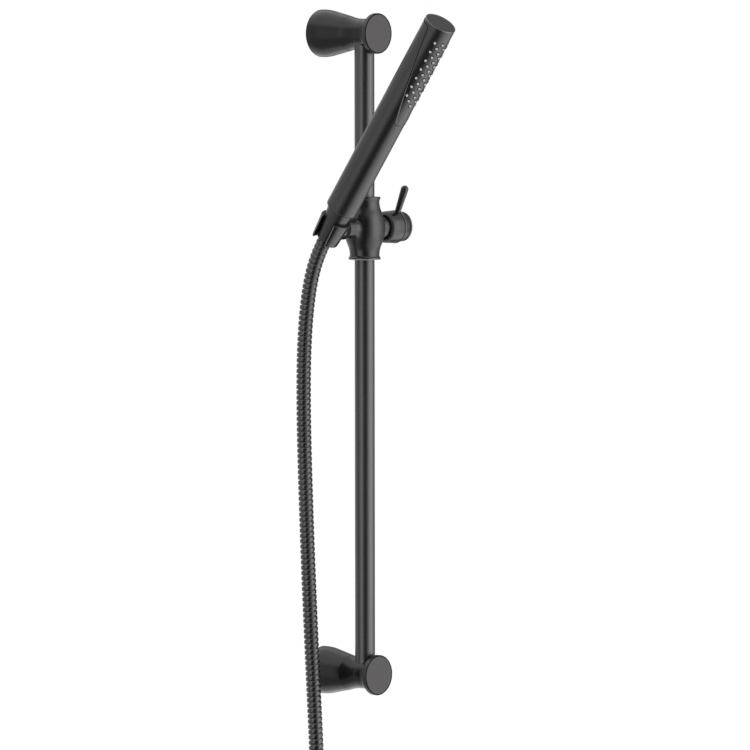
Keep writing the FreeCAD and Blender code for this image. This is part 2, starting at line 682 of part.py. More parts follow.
def make_lever():
    """A round pin that widens to a ball end, pressed into the knob."""
    lever = turned("clamp_lever", [
        ("0", "lever_root"),
        ("lever_root_radius", "lever_root"),
        ("lever_root_radius", "knob_shoulder"),
        ("lever_tip_radius", "lever_length - lever_tip_radius"),
        arc("0", "lever_length", "lever_tip_radius", "left"),
    ])
    return node(lever_line(lever), "clamp_lever")


# --- cone nut, hose end and handset inlet ----------------------------------------------------

SWIVEL_TOP = "(swivel_floor + swivel_thick)"
INLET_START = f"({SWIVEL_TOP} + inlet_washer_thick)"
SHELL_FLOOR = "(handset_start + shell_floor)"
INLET_FLANGE = f"({SHELL_FLOOR} + inlet_gasket_thick)"
INLET_STEM = f"({INLET_FLANGE} + inlet_flange_thick)"
INLET_END = f"({INLET_STEM} + inlet_stem_length)"
TUBE_START = f"({INLET_END} - tube_socket)"


def make_cone_nut():
    """The conical nut that seats in the cradle and screws onto the handset's inlet."""
    low = "(0 - nut_bottom)"
    nut = turned("cone_nut", [
        ("stem_radius + stem_fit", low),
        ("nut_bottom_radius - nut_edge", low),
        (f"{nut_radius(f'({low} + nut_edge)')}", f"{low} + nut_edge"),
        (f"{nut_radius(f'({NUT_TOP} - nut_edge)')}", f"{NUT_TOP} - nut_edge"),
        ("nut_top_radius - nut_edge", NUT_TOP),
        ("thread_radius + thread_gap", NUT_TOP),
        ("thread_radius + thread_gap", "swivel_floor"),
        ("stem_radius + stem_fit", "swivel_floor"),
    ])
    return on_handset_axis(nut, "cone_nut")


def make_hose_ferrule():
    """The crimped hose end: its flange turns on the floor of the cone nut."""
    ferrule = turned("hose_ferrule", [
        ("stem_bore", "0 - stem_end"),
        ("stem_radius", "0 - stem_end"),
        ("stem_radius", "swivel_floor"),
        ("swivel_radius", "swivel_floor"),
        ("swivel_radius", SWIVEL_TOP),
        ("stem_bore", SWIVEL_TOP),
    ])
    return on_handset_axis(ferrule, "hose_ferrule")


def make_inlet():
    """The threaded inlet, its flange inside the shell's floor and its socket for the tube."""
    inlet = turned("inlet_nipple", [
        ("inlet_bore", INLET_START),
        ("thread_radius", INLET_START),
        ("thread_radius", INLET_FLANGE),
        ("inlet_flange", INLET_FLANGE),
        ("inlet_flange", INLET_STEM),
        ("inlet_stem", INLET_STEM),
        ("inlet_stem", INLET_END),
        ("water_tube_radius + inner_gap", INLET_END),
        ("water_tube_radius + inner_gap", TUBE_START),
        ("inlet_bore", TUBE_START),
    ])
    return on_handset_axis(inlet, "inlet_nipple")


def make_inlet_parts():
    """The washer and gasket, and the valve and flow restrictor inside the inlet's bore."""
    on_handset_axis(ring("inlet_washer", "inlet_washer_hole", "thread_radius - thread_gap",
                         SWIVEL_TOP, INLET_START), "inlet_washer")
    on_handset_axis(ring("inlet_gasket", "thread_radius + thread_gap", "inlet_flange",
                         SHELL_FLOOR, INLET_FLANGE), "inlet_gasket")
    low = f"({INLET_START} + inner_gap)"
    high = f"({low} + valve_length)"
    on_handset_axis(turned("check_valve", [
        ("0", low),
        ("valve_radius", low),
        ("valve_radius", high),
        ("valve_radius - valve_wall", high),
        ("valve_radius - valve_wall", f"{low} + valve_wall"),
        ("0", f"{low} + valve_wall"),
    ]), "check_valve")
    on_handset_axis(ring("flow_restrictor", "restrictor_hole", "valve_radius", f"{high} + inner_gap",
                         f"{high} + inner_gap + restrictor_thick"), "flow_restrictor")


# --- handset -----------------------------------------------------------------------------------

TOP = "(handset_start + handset_length)"
DISC_UNDER = f"({TOP} - end_disc)"
SHELL_END = f"({DISC_UNDER} - parting_gap)"
FACE_BORE = "(handset_radius - face_wall)"


SEAM_FALL = "(handset_radius + parting_back) / (parting_end - parting_start - corner_curve)"


def seam_at(depth):
    """How far back the slanting seam lies at a depth below the handset's top."""
    return f"(parting_back - ({depth} - parting_start - corner_curve) * {SEAM_FALL})"


def face_side(name, shift):
    """The part of space on the spray side of the parting line, moved back by a shift.

    In the handset's own YZ plane the line runs level under the end disc, round a corner
    slants across the shell towards the front and closes round the end of a tongue.
    """
    over = "(handset_radius + 5)"
    return slab(name, [
        (over, f"{DISC_UNDER} - ({shift})"),
        (over, f"{TOP} + 5"),
        (f"0 - {over}", f"{TOP} + 5"),
        (f"0 - {over}", f"{TOP} - tongue_end - ({shift})"),
        (f"{shift} + {seam_at('tongue_end')} - tongue_inset", f"{TOP} - tongue_end - ({shift})"),
        arc(f"{shift} + {seam_at('(tongue_end - tongue_round)')}",
            f"{TOP} - tongue_end + tongue_round", "tongue_curve", "left"),
        (f"{shift} + parting_back", f"{TOP} - parting_start - corner_curve"),
        arc(f"{shift} + parting_back + corner_curve", f"{DISC_UNDER} - ({shift})",
            "1.6 * corner_curve", "right"),
    ], "2 * handset_radius + 10")


def make_shell():
    """The long tube of the handset, closed at the inlet and cut away for the spray face."""
    blank = turned("shell_blank", [
        ("thread_radius + inner_gap", "handset_start"),
        ("handset_radius - shell_edge", "handset_start"),
        arc("handset_radius", "handset_start + shell_edge", "shell_edge", "left"),
        ("handset_radius", SHELL_END),
        ("handset_radius - shell_wall", SHELL_END),
        ("handset_radius - shell_wall", SHELL_FLOOR),
        ("thread_radius + inner_gap", SHELL_FLOOR),
    ])
    return on_handset_axis(cut("wand_shell", blank, [face_side("shell_face_side", "parting_gap")]),
                           "wand_shell")


def nozzle_places():
    """The (angle, distance below the top) of each nozzle, in staggered columns."""
    columns = int(size("nozzle_columns"))
    for column in range(columns):
        step = column - (columns - 1) / 2
        staggered = column % 2
        rows = int(size("nozzle_rows")) + (abs(step) == 1)
        for row in range(rows):
            yield step * size("nozzle_step"), size("nozzle_first") + (row + staggered / 2) * size("nozzle_pitch")


def radial_cones(low, high, low_radius, high_radius):
    """One cone at each nozzle place, standing out between two distances from the axis."""
    cones = []
    for angle, drop in nozzle_places():
        turn = math.radians(angle)
        way = FreeCAD.Vector(math.sin(turn), -math.cos(turn), 0)
        start = way * low + FreeCAD.Vector(0, 0, size(TOP) - drop)
        if abs(low_radius - high_radius) < 1e-6:
            cones.append(Part.makeCylinder(low_radius, high - low, start, way))
        else:
            cones.append(Part.makeCone(low_radius, high_radius, high - low, start, way))
    return Part.makeCompound(cones)


def make_face():
    """The spray face and end disc in one moulding, with a hole for every nozzle."""
    low = f"({TOP} - tongue_end - 1)"
    blank = turned("face_blank", [
        ("0", low),
        ("handset_radius", low),
        ("handset_radius", f"{TOP} - disc_edge"),
        ("handset_radius - disc_edge", TOP),
        ("0", TOP),
    ])
    piece = overlap("face_piece", blank, face_side("face_side", "0"))
    bore = rod("face_bore", FACE_BORE, f"{DISC_UNDER} - {low} + 1", z=f"{low} - 1")
    holes = shaped("face_holes", radial_cones(size(FACE_BORE) - 1, size("handset_radius") + 1,
                                              size("nozzle_hole"), size("nozzle_hole")))
    return on_handset_axis(cut("spray_face", piece, [bore, holes]), "spray_face")


def make_mat():
    """The rubber mat behind the face, with a nozzle standing out through every hole."""
    outer = size("mat_outer")
    inner = outer - size("mat_thick")
    low = size(TOP) - size("mat_end")
    high = size(TOP) - size("mat_start")
    half = size("mat_half_angle")
    profile = Part.makePolygon([FreeCAD.Vector(inner, 0, low), FreeCAD.Vector(outer, 0, low),
                                FreeCAD.Vector(outer, 0, high), FreeCAD.Vector(inner, 0, high),
                                FreeCAD.Vector(inner, 0, low)])
    sheet_shape = Part.Face(profile).revolve(FreeCAD.Vector(0, 0, 0), FreeCAD.Vector(0, 0, 1), 2 * half)
    sheet_shape.rotate(FreeCAD.Vector(0, 0, 0), FreeCAD.Vector(0, 0, 1), -90 - half)
    tip = size("handset_radius") + size("nozzle_stand")
    mat = sheet_shape.fuse(radial_cones(outer - size("nozzle_depth"), tip, size("nozzle_root"),
                                        size("nozzle_tip")).Solids)
    bores = radial_cones(tip - 1, tip + 1, size("nozzle_bore"), size("nozzle_bore"))
    blank = shaped("mat_blank", mat.cut(bores))
    return on_handset_axis(overlap("nozzle_mat", blank, face_side("mat_side", "0 - seal_thick")),
                           "nozzle_mat")


def make_seal():
    """The seal along the parting line, under the edges of the face and of the shell."""
    low = f"({TOP} - tongue_end - 1)"
    band = ring("seal_band", "mat_outer - seal_width", "mat_outer", low, f"{TOP} - mat_start")
    back = overlap("seal_back", band, face_side("seal_outer_side", "seal_drop"))
    inner = face_side("seal_inner_side", "0 - seal_thick")
    return on_handset_axis(cut("face_seal", back, [inner]), "face_seal")


def make_tray():
    """The water tray behind the mat: a trough fed by a round inlet on the handset's axis."""
    block = overlap("tray_block", rod("tray_round", "tray_radius", "tray_end - tray_top",
                                      z=f"{TOP} - tray_end"), face_side("tray_side", "0 - tray_drop"))
    mouth = f"({TOP} - tray_socket - tray_socket_depth)"
    inlet = rod("tray_inlet", "tray_inlet_radius", "tray_socket_depth + tray_inlet_length", z=mouth)
    floor = "(parting_back - tray_drop - trough_floor)"
    trough = slab("tray_trough", [
        (f"{floor} - (trough_end - parting_start - corner_curve) * {SEAM_FALL}", f"{TOP} - trough_end"),
        (floor, f"{TOP} - parting_start - corner_curve"),
        ("0 - 2 * tray_radius", f"{TOP} - parting_start - corner_curve"),
        ("0 - 2 * tray_radius", f"{TOP} - trough_end"),
    ], "trough_width")
    socket = rod("tray_socket_hole", "water_tube_radius + inner_gap", "tray_socket_depth + 1",
                 z=f"{mouth} - 1")
    passage = rod("tray_passage", "passage_radius", "tray_inlet_length - 2", z=f"{TOP} - tray_socket - 1")
    tray = cut("spray_tray", join("tray_blank", [block, inlet]), [trough, socket, passage])
    return on_handset_axis(tray, "spray_tray")


def make_water_tube():
    tube = ring("water_tube", "water_tube_radius - water_tube_wall", "water_tube_radius",
                TUBE_START, f"{TOP} - tray_socket")
    return on_handset_axis(tube, "water_tube")


# --- hose, coil and supply end -----------------------------------------------------------------

TAIL_X = "(0 - cradle_reach - coil_turns * coil_pitch)"
COIL_Y = "(coil_y - bar_offset)"
TAIL_END = "(coil_height - stub_length)"
END_RADIUS = "(hose_radius - coil_step)"
SUPPLY_SEAT = "(0 - supply_stem)"
SUPPLY_FLANGE = f"({SUPPLY_SEAT} - swivel_thick)"


def hose_points():
    """The hose's route from the ferrule down to the top of the coil, all in one plane."""
    lean = math.radians(size("handset_lean"))
    axis = FreeCAD.Vector(0, -math.sin(lean), math.cos(lean))
    pivot = FreeCAD.Vector(-size("cradle_reach"), -size("bar_offset"), size("cross_height"))
    hanging = [(-28.2, 68), (-21.4, 18), (-20.2, -50), (-23.2, -140), (-27.8, -235), (-33.5, -330)]
    x = pivot.x
    ends = [(size(COIL_Y), -384), (size(COIL_Y), size("coil_height") + size("stub_length"))]
    return ([pivot - axis * size("stem_end"), pivot - axis * size("hose_lead")]
            + [FreeCAD.Vector(x, y, z) for y, z in hanging + ends])


def rounded_route(points):
    """Straight runs joined by tangent arcs, each as large as its two runs allow."""
    edges = []
    radii = []
    last = points[0]
    for before, corner, after in zip(points, points[1:], points[2:]):
        back = before - corner
        ahead = after - corner
        turn = math.pi - back.getAngle(ahead)
        setback = 0.45 * min(back.Length, ahead.Length)
        radii.append(setback / math.tan(turn / 2))
        back.normalize()
        ahead.normalize()
        start = corner + back * setback
        end = corner + ahead * setback
        inward = (back + ahead).normalize()
        centre_distance = radii[-1] / math.cos(turn / 2)
        middle = corner + inward * (centre_distance - radii[-1])
        edges.append(Part.LineSegment(last, start).toShape())
        edges.append(Part.Arc(start, middle, end).toShape())
        last = end
    edges.append(Part.LineSegment(last, points[-1]).toShape())
    return Part.Wire(edges), radii


def make_hose():
    """The hose as a plain round tube along its route."""
    points = hose_points()
    route, radii = rounded_route(points)
    circle = Part.Circle(points[0], points[1] - points[0], size("hose_radius"))
    tube = route.makePipeShell([Part.Wire(circle.toShape())], True, True)
    expected = math.pi * size("hose_radius") ** 2 * route.Length
    print("hose radii", [round(radius) for radius in radii], "length", round(route.Length, 1),
          "volume ratio", round(tube.Volume / expected, 4))
    return node(shaped("hose_tube", tube), "hose_tube")


def make_coil():
    """The put-away hose: the outer shape of its turns, with its two ends standing off."""
    span = "(coil_turns * coil_pitch)"
    inner = "(coil_radius - hose_radius)"
    outer = "(coil_radius + hose_radius)"
    turns = turned("coil_turns_shape", [
        arc(outer, "0", "hose_radius", "left"),
        (outer, span),
        arc("coil_radius", f"{span} + hose_radius", "hose_radius", "left"),
        arc(inner, span, "hose_radius", "left"),
        (inner, "0"),
        arc("coil_radius", "0 - hose_radius", "hose_radius", "left"),
    ])
    put(turns, x="0 - cradle_reach", y=f"{COIL_Y} - coil_radius", z="coil_height", turn=TO_LEFT)
    top = rod("coil_top_end", END_RADIUS, "stub_length", x="0 - cradle_reach", y=COIL_Y, z="coil_height")
    tail = rod("coil_tail_end", END_RADIUS, "stub_length", x=TAIL_X, y=COIL_Y, z=TAIL_END)
    return node(join("hose_coil", [turns, top, tail]), "hose_coil")


def make_tie():
    """A flat band round the turns where the hose meets the coil."""
    def band(name, radius, width):
        span = "(coil_turns * coil_pitch / 2)"
        return slab(name, [
            (span, f"0 - ({radius})"),
            arc(f"{span} + {radius}", "0", radius, "left"),
            arc(span, radius, radius, "left"),
            (f"0 - {span}", radius),
            arc(f"0 - {span} - ({radius})", "0", radius, "left"),
            arc(f"0 - {span}", f"0 - ({radius})", radius, "left"),
        ], width, "XY_Plane")
    outer = band("tie_outer", "(hose_radius + tie_gap + tie_wall)", "tie_width")
    inner = band("tie_inner", "(hose_radius + tie_gap)", "tie_width + 2")
    return node(put(cut("hose_tie", outer, [inner]), x="0 - cradle_reach - coil_turns * coil_pitch / 2",
                    y=COIL_Y, z="coil_height"), "hose_tie")


def at_supply_end(thing, label):
    return node(put(thing, x=TAIL_X, y=COIL_Y, z=TAIL_END), label)


def make_supply_end():
    """The lower ferrule, its washer, and the loose hexagon nut that hangs on its flange."""
    at_supply_end(turned("supply_ferrule", [
        ("stem_bore", SUPPLY_FLANGE),
        ("supply_thread - 2 * thread_gap", SUPPLY_FLANGE),
        ("supply_thread - 2 * thread_gap", SUPPLY_SEAT),
        ("stem_radius", SUPPLY_SEAT),
        ("stem_radius", "0"),
        ("stem_bore", "0"),
    ]), "supply_ferrule")
    at_supply_end(ring("supply_washer", "inlet_washer_hole", "supply_thread - 2 * thread_gap",
                       f"{SUPPLY_FLANGE} - supply_washer_thick", SUPPLY_FLANGE), "supply_washer")
    hexagon = doc.addObject("Part::Prism", "supply_nut_blank")
    hexagon.Polygon = 6
    bind(hexagon, "Circumradius", "supply_nut_flats / 2 / cos(30)")
    bind(hexagon, "Height", "supply_nut_length")
    low = f"({SUPPLY_SEAT} + supply_nut_floor - supply_nut_length)"
    put(hexagon, z=low)
    bore = rod("supply_nut_bore", "supply_thread", f"{SUPPLY_SEAT} - {low} + 1", z=f"{low} - 1")
    relief_low = f"({SUPPLY_FLANGE} - supply_washer_thick - supply_relief_drop)"
    relief = rod("supply_nut_relief", "supply_relief", f"{SUPPLY_SEAT} - {relief_low}", z=relief_low)
    neck = rod("supply_nut_neck", "stem_radius + stem_fit", "supply_nut_length + 2", z=f"{low} - 1")
    at_supply_end(cut("supply_nut", hexagon, [bore, relief, neck]), "supply_nut")


# --- the assembly --------------------------------------------------------------------------------

for place, side in (("upper", 1), ("lower", -1)):
    make_post(f"{place}_post", side)
    make_cap(f"{place}_post_cap", side)
    make_bracket(f"{place}_wall_bracket", side)
    make_gasket(f"{place}_wall_gasket", side)
    make_plug(f"{place}_bar_plug", side)
    make_bush(f"{place}_bush", side)
make_pair("post_set_screws", set_screw)
make_pair("bar_lock_screws", lock_screw)
make_bar()
make_slider()
on_cross_axis(ring("wave_washer", PIVOT_HOLE, "washer_radius", WASHER_FACE, "0 - boss_reach"),
              "wave_washer")
make_detent("fixed_detent_ring", FIXED_FACE, WASHER_FACE)
make_detent("moving_detent_ring", HUB_FACE, MOVING_BACK)
make_pivot()
make_cradle()
on_cross_axis(ring("thrust_washer", CLAMP_BORE, "thrust_radius", "clamp_boss_reach", THRUST_FACE),
              "thrust_washer")
make_shoe()
make_clamp_screw()
make_knob()
make_knob_screw()
make_knob_cap()
make_lever()
make_cone_nut()
make_hose_ferrule()
make_inlet()
make_inlet_parts()
make_shell()
make_face()
make_mat()
make_seal()
make_tray()
make_water_tube()
make_hose()
make_coil()
make_tie()
make_supply_end()

doc.recompute()
for thing in doc.Objects:
    if "Invalid" in thing.State or "Error" in thing.State:
        raise RuntimeError(f"{thing.Name} failed: {thing.State}")
for thing in nodes:
    if thing.Shape.isNull() or not thing.Shape.isValid() or not thing.Shape.Solids:
        raise RuntimeError(f"{thing.Label} has no valid shape")

os.makedirs("parts", exist_ok=True)
for thing in nodes:
    thing.Shape.exportStep(f"parts/{thing.Label}.step")
    print(thing.Label, len(thing.Shape.Solids), round(thing.Shape.Volume))
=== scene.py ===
import math

import bmesh
import bpy
import numpy as np
from mathutils import Matrix, Vector


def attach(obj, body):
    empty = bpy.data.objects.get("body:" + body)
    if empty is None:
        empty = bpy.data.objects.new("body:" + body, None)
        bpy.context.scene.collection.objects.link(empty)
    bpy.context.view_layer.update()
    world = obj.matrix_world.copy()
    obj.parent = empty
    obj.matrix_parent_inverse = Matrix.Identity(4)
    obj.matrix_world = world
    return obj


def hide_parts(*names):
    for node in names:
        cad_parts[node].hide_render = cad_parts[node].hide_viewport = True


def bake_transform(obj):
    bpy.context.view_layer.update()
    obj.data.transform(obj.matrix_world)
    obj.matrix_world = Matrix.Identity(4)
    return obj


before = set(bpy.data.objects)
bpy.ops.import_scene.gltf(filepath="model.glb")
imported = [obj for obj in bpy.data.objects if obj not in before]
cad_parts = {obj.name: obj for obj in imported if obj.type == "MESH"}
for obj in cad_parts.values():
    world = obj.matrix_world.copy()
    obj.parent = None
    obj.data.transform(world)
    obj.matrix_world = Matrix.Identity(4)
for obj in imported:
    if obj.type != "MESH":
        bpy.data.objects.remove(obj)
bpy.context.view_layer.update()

# A slide-bar shower set on a wall. Z runs up the bar, +Y goes into the wall and the handset
# hangs on the -X side. Lengths are in millimetres until they reach a mesh.
MM = 0.001

BAR_Y = -55.0
POST_HEIGHT = 304.8
SLIDER_HEIGHT = 120.5


# --- camera --------------------------------------------------------------------------------------

CAMERA_PLACE = (-3.9598, -3.6023, 0.3339)
CAMERA_AZIMUTH = 48.25
CAMERA_DIP = 3.80
CAMERA_ROLL = -0.06
CAMERA_LENS = 269.1
SENSOR_WIDTH = 36.0
CAMERA_CLIP_END = 200


def make_camera():
    """A long lens from the left front, looking slightly down."""
    data = bpy.data.cameras.new("camera")
    data.lens = CAMERA_LENS
    data.sensor_width = SENSOR_WIDTH
    data.clip_end = CAMERA_CLIP_END
    camera = bpy.data.objects.new("camera", data)
    bpy.context.scene.collection.objects.link(camera)
    camera.location = CAMERA_PLACE
    azimuth, dip = math.radians(CAMERA_AZIMUTH), math.radians(CAMERA_DIP)
    ahead = Vector((math.sin(azimuth) * math.cos(dip), math.cos(azimuth) * math.cos(dip),
                    -math.sin(dip)))
    roll = Matrix.Rotation(math.radians(CAMERA_ROLL), 3, "Z")
    camera.rotation_euler = (ahead.to_track_quat("-Z", "Y").to_matrix() @ roll).to_euler()
    bpy.context.scene.camera = camera
    bpy.context.scene.view_settings.view_transform = "Standard"


# --- materials -----------------------------------------------------------------------------------

CLOUD_SCALE = 28
CLOUD_DETAIL = 4
GRAIN_SCALE = 900
GRAIN_DETAIL = 3
NOISE_SPAN = (0.3, 0.7)
BUMP_HEIGHT = 0.0002
PLAIN_BUMP = 0.05
CAST_BUMP = 0.3
COATING = 0.85


def plain(name, colour, roughness, metallic=0.0):
    """A material of one colour and one roughness."""
    material = bpy.data.materials.new(name)
    material.use_nodes = True
    shader = material.node_tree.nodes["Principled BSDF"]
    shader.inputs["Base Color"].default_value = (*colour, 1)
    shader.inputs["Roughness"].default_value = roughness
    shader.inputs["Metallic"].default_value = metallic
    return material


def surface_group():
    """A node group for a slightly uneven surface: mottled colour, uneven roughness, fine bump."""
    group = bpy.data.node_groups.new("uneven_surface", "ShaderNodeTree")
    for label, way, kind in (
            ("Dark", "INPUT", "Color"), ("Light", "INPUT", "Color"), ("Smooth", "INPUT", "Float"),
            ("Rough", "INPUT", "Float"), ("Bump", "INPUT", "Float"), ("Color", "OUTPUT", "Color"),
            ("Roughness", "OUTPUT", "Float"), ("Normal", "OUTPUT", "Vector")):
        group.interface.new_socket(label, in_out=way, socket_type="NodeSocket" + kind)
    nodes, links = group.nodes, group.links
    entry = nodes.new("NodeGroupInput")
    leave = nodes.new("NodeGroupOutput")
    place = nodes.new("ShaderNodeTexCoord")
    clouds, grain = nodes.new("ShaderNodeTexNoise"), nodes.new("ShaderNodeTexNoise")
    for noise, scale, detail in ((clouds, CLOUD_SCALE, CLOUD_DETAIL),
                                 (grain, GRAIN_SCALE, GRAIN_DETAIL)):
        noise.inputs["Scale"].default_value = scale
        noise.inputs["Detail"].default_value = detail
        links.new(place.outputs["Object"], noise.inputs["Vector"])
    total = nodes.new("ShaderNodeMath")
    total.operation = "ADD"
    links.new(clouds.outputs["Fac"], total.inputs[0])
    links.new(grain.outputs["Fac"], total.inputs[1])
    mean = nodes.new("ShaderNodeMath")
    mean.operation = "MULTIPLY"
    mean.inputs[1].default_value = 0.5
    links.new(total.outputs[0], mean.inputs[0])
    tint = nodes.new("ShaderNodeMix")
    tint.data_type = "RGBA"
    links.new(mean.outputs[0], tint.inputs["Factor"])
    links.new(entry.outputs["Dark"], tint.inputs["A"])
    links.new(entry.outputs["Light"], tint.inputs["B"])
    spread = nodes.new("ShaderNodeMapRange")
    spread.inputs["From Min"].default_value, spread.inputs["From Max"].default_value = NOISE_SPAN
    links.new(mean.outputs[0], spread.inputs["Value"])
    links.new(entry.outputs["Smooth"], spread.inputs["To Min"])
    links.new(entry.outputs["Rough"], spread.inputs["To Max"])
    bump = nodes.new("ShaderNodeBump")
    bump.inputs["Distance"].default_value = BUMP_HEIGHT
    links.new(entry.outputs["Bump"], bump.inputs["Strength"])
    links.new(grain.outputs["Fac"], bump.inputs["Height"])
    links.new(tint.outputs["Result"], leave.inputs["Color"])
    links.new(spread.outputs["Result"], leave.inputs["Roughness"])
    links.new(bump.outputs["Normal"], leave.inputs["Normal"])
    return group


UNEVEN = surface_group()


def uneven(name, dark, light, smooth, rough, bump=PLAIN_BUMP, metallic=0.0, shine=0.5):
    """A material of the shared group, between two colours and two roughnesses."""
    material = plain(name, light, rough, metallic)
    shader = material.node_tree.nodes["Principled BSDF"]
    shader.inputs["Specular IOR Level"].default_value = shine
    surface = material.node_tree.nodes.new("ShaderNodeGroup")
    surface.node_tree = UNEVEN
    for label, value in (("Dark", (*dark, 1)), ("Light", (*light, 1)), ("Smooth", smooth),
                         ("Rough", rough), ("Bump", bump)):
        surface.inputs[label].default_value = value
    for output, socket in (("Color", "Base Color"), ("Roughness", "Roughness"),
                           ("Normal", "Normal")):
        material.node_tree.links.new(surface.outputs[output], shader.inputs[socket])
    return material


def coated(name, dark, light, smooth, rough):
    """A finish of the black metallic coating, which shows the studio in its gloss."""
    return uneven(name, dark, light, smooth, rough, metallic=COATING)


BLACK = coated("satin_black", (0.078, 0.075, 0.077), (0.098, 0.095, 0.097), 0.27, 0.34)
BLACK_SHELL = coated("satin_black_shell", (0.058, 0.056, 0.057), (0.074, 0.071, 0.073),
                     0.26, 0.33)
BLACK_CAST = coated("satin_black_cast", (0.051, 0.049, 0.050), (0.066, 0.063, 0.065), 0.24, 0.31)
BLACK_POST = coated("satin_black_post", (0.025, 0.024, 0.024), (0.034, 0.032, 0.033), 0.16, 0.22)
BLACK_KNOB = coated("polished_black", (0.050, 0.048, 0.049), (0.065, 0.062, 0.064), 0.15, 0.22)
BLACK_DISC = coated("satin_black_disc", (0.050, 0.048, 0.049), (0.066, 0.063, 0.064), 0.36, 0.44)
# A lighter copy of the satin black for thin beads on edges: real gloss, with a painted highlight
# in its lighter colour.
BLACK_PAINTED_HIGHLIGHT = coated("black_painted_highlight", (0.14, 0.136, 0.138), (0.18, 0.176, 0.178), 0.16, 0.24)
# Rougher and lighter than the knob's own black, for the skin over its back edge: the lighter
# colour is painted light over the dark reflection there.
KNOB_BACK_PAINTED_LIGHT = coated("knob_back_painted_light", (0.069, 0.067, 0.068), (0.085, 0.082, 0.083), 0.42, 0.52)
HOSE_METAL = coated("hose_metal", (0.058, 0.056, 0.057), (0.090, 0.087, 0.088), 0.13, 0.21)
# A pale ring along the slider's lower edge: a painted highlight.
PALE_PAINTED_HIGHLIGHT = uneven("pale_painted_highlight", (0.22, 0.215, 0.218), (0.28, 0.274, 0.277), 0.35, 0.45,
                   metallic=0.2)
# Near-black, dull beads in the seam, round the nozzles and round the post caps: painted shade.
PAINTED_SHADE_LINE = uneven("painted_shade_line", (0.004, 0.004, 0.004), (0.008, 0.008, 0.008), 0.7, 0.9,
                   shine=0.05)
# Darker and duller than the black plastic, for the detent rings between the cradle and the
# slider's boss: their own black with painted shade of that narrow gap.
PLASTIC_PAINTED_SHADE = uneven("plastic_painted_shade", (0.008, 0.008, 0.008), (0.014, 0.014, 0.014), 0.5, 0.62,
                      shine=0.15)
BLACK_PLASTIC = uneven("black_plastic", (0.016, 0.016, 0.016), (0.022, 0.022, 0.022), 0.45, 0.6)
SILICONE = uneven("grey_silicone", (0.47, 0.47, 0.45), (0.58, 0.58, 0.55), 0.5, 0.65)
WHITE_PLASTIC = uneven("white_plastic", (0.62, 0.62, 0.60), (0.70, 0.70, 0.68), 0.4, 0.55)
RUBBER = uneven("black_rubber", (0.012, 0.012, 0.012), (0.02, 0.02, 0.02), 0.6, 0.8)
BRASS = uneven("brass", (0.62, 0.46, 0.20), (0.74, 0.57, 0.28), 0.22, 0.4, metallic=1.0)
STEEL = uneven("steel", (0.48, 0.48, 0.49), (0.6, 0.6, 0.61), 0.25, 0.42, metallic=1.0)
CASTING = uneven("casting", (0.42, 0.42, 0.43), (0.55, 0.55, 0.56), 0.4, 0.6, bump=CAST_BUMP,
                 metallic=1.0)


# --- stage ---------------------------------------------------------------------------------------

# The studio that the gloss shows, as (bearing in degrees to the right of the camera's own side,
# brightness there): for level rays, for rays that go steeply up and for rays that go down.
STUDIO = (
    (-180, 0.32), (-150, 0.85), (-128, 0.80), (-115, 0.65), (-104, 0.85), (-94, 0.90),
    (-82, 0.74), (-66, 0.67), (-46, 1.34), (-32, 1.60), (-22, 0.85), (-13, 0.08), (-4, 0.0),
    (14, 0.0), (25, 0.22), (42, 1.4), (60, 2.85), (80, 2.95), (97, 2.1), (116, 0.95),
    (136, 0.32), (180, 0.36))
STUDIO_HIGH = (
    (-180, 1.3), (-130, 1.7), (-60, 1.7), (-20, 0.9), (60, 0.9), (120, 0.75), (138, 0.55),
    (168, 0.55), (180, 1.3))
STUDIO_LOW = (
    (-180, 1.4), (-120, 1.4), (-100, 0.6), (-66, 0.55), (-44, 0.50), (-34, 0.18), (-24, 0.0),
    (6, 0.0), (22, 0.48), (56, 1.6), (88, 2.3), (113, 2.4), (135, 1.9), (152, 0.5),
    (166, 0.15), (174, 0.3), (180, 1.4))
STUDIO_PEAK = 3.0
# A ray's climb at which the high or the low studio begins to show, and at which it shows alone.
HIGH_FADE = (0.42, 0.70)
LOW_FADE = (-0.25, -0.60)
PLAIN_STRENGTH = 0.9

FLOOR_SIZE = 120
FLOOR_HEIGHT = -0.96
FLOOR_GREY = 0.93
FLOOR_ROUGHNESS = 0.7
FLOOR_GLOW = 1.02
FLOOR_GLOW_SHARE = 0.9

# Name, place, width, height and power of each lamp; all of them face the origin.
LAMPS = (
    ("left_panel", (-2.8, 0.3, 0.9), 1.0, 2.0, 14),
    ("top_panel", (-0.4, -0.8, 2.6), 1.6, 1.6, 18))


def ramp_node(nodes, levels):
    """A colour ramp over the whole circle of bearings, with these levels as shares of the peak."""
    ramp = nodes.new("ShaderNodeValToRGB")
    elements = ramp.color_ramp.elements
    while len(elements) < len(levels):
        elements.new(0.5)
    for element, (angle, level) in zip(elements, levels):
        element.position = 0.5 + angle / 360
        element.color = (level / STUDIO_PEAK,) * 3 + (1,)
    return ramp


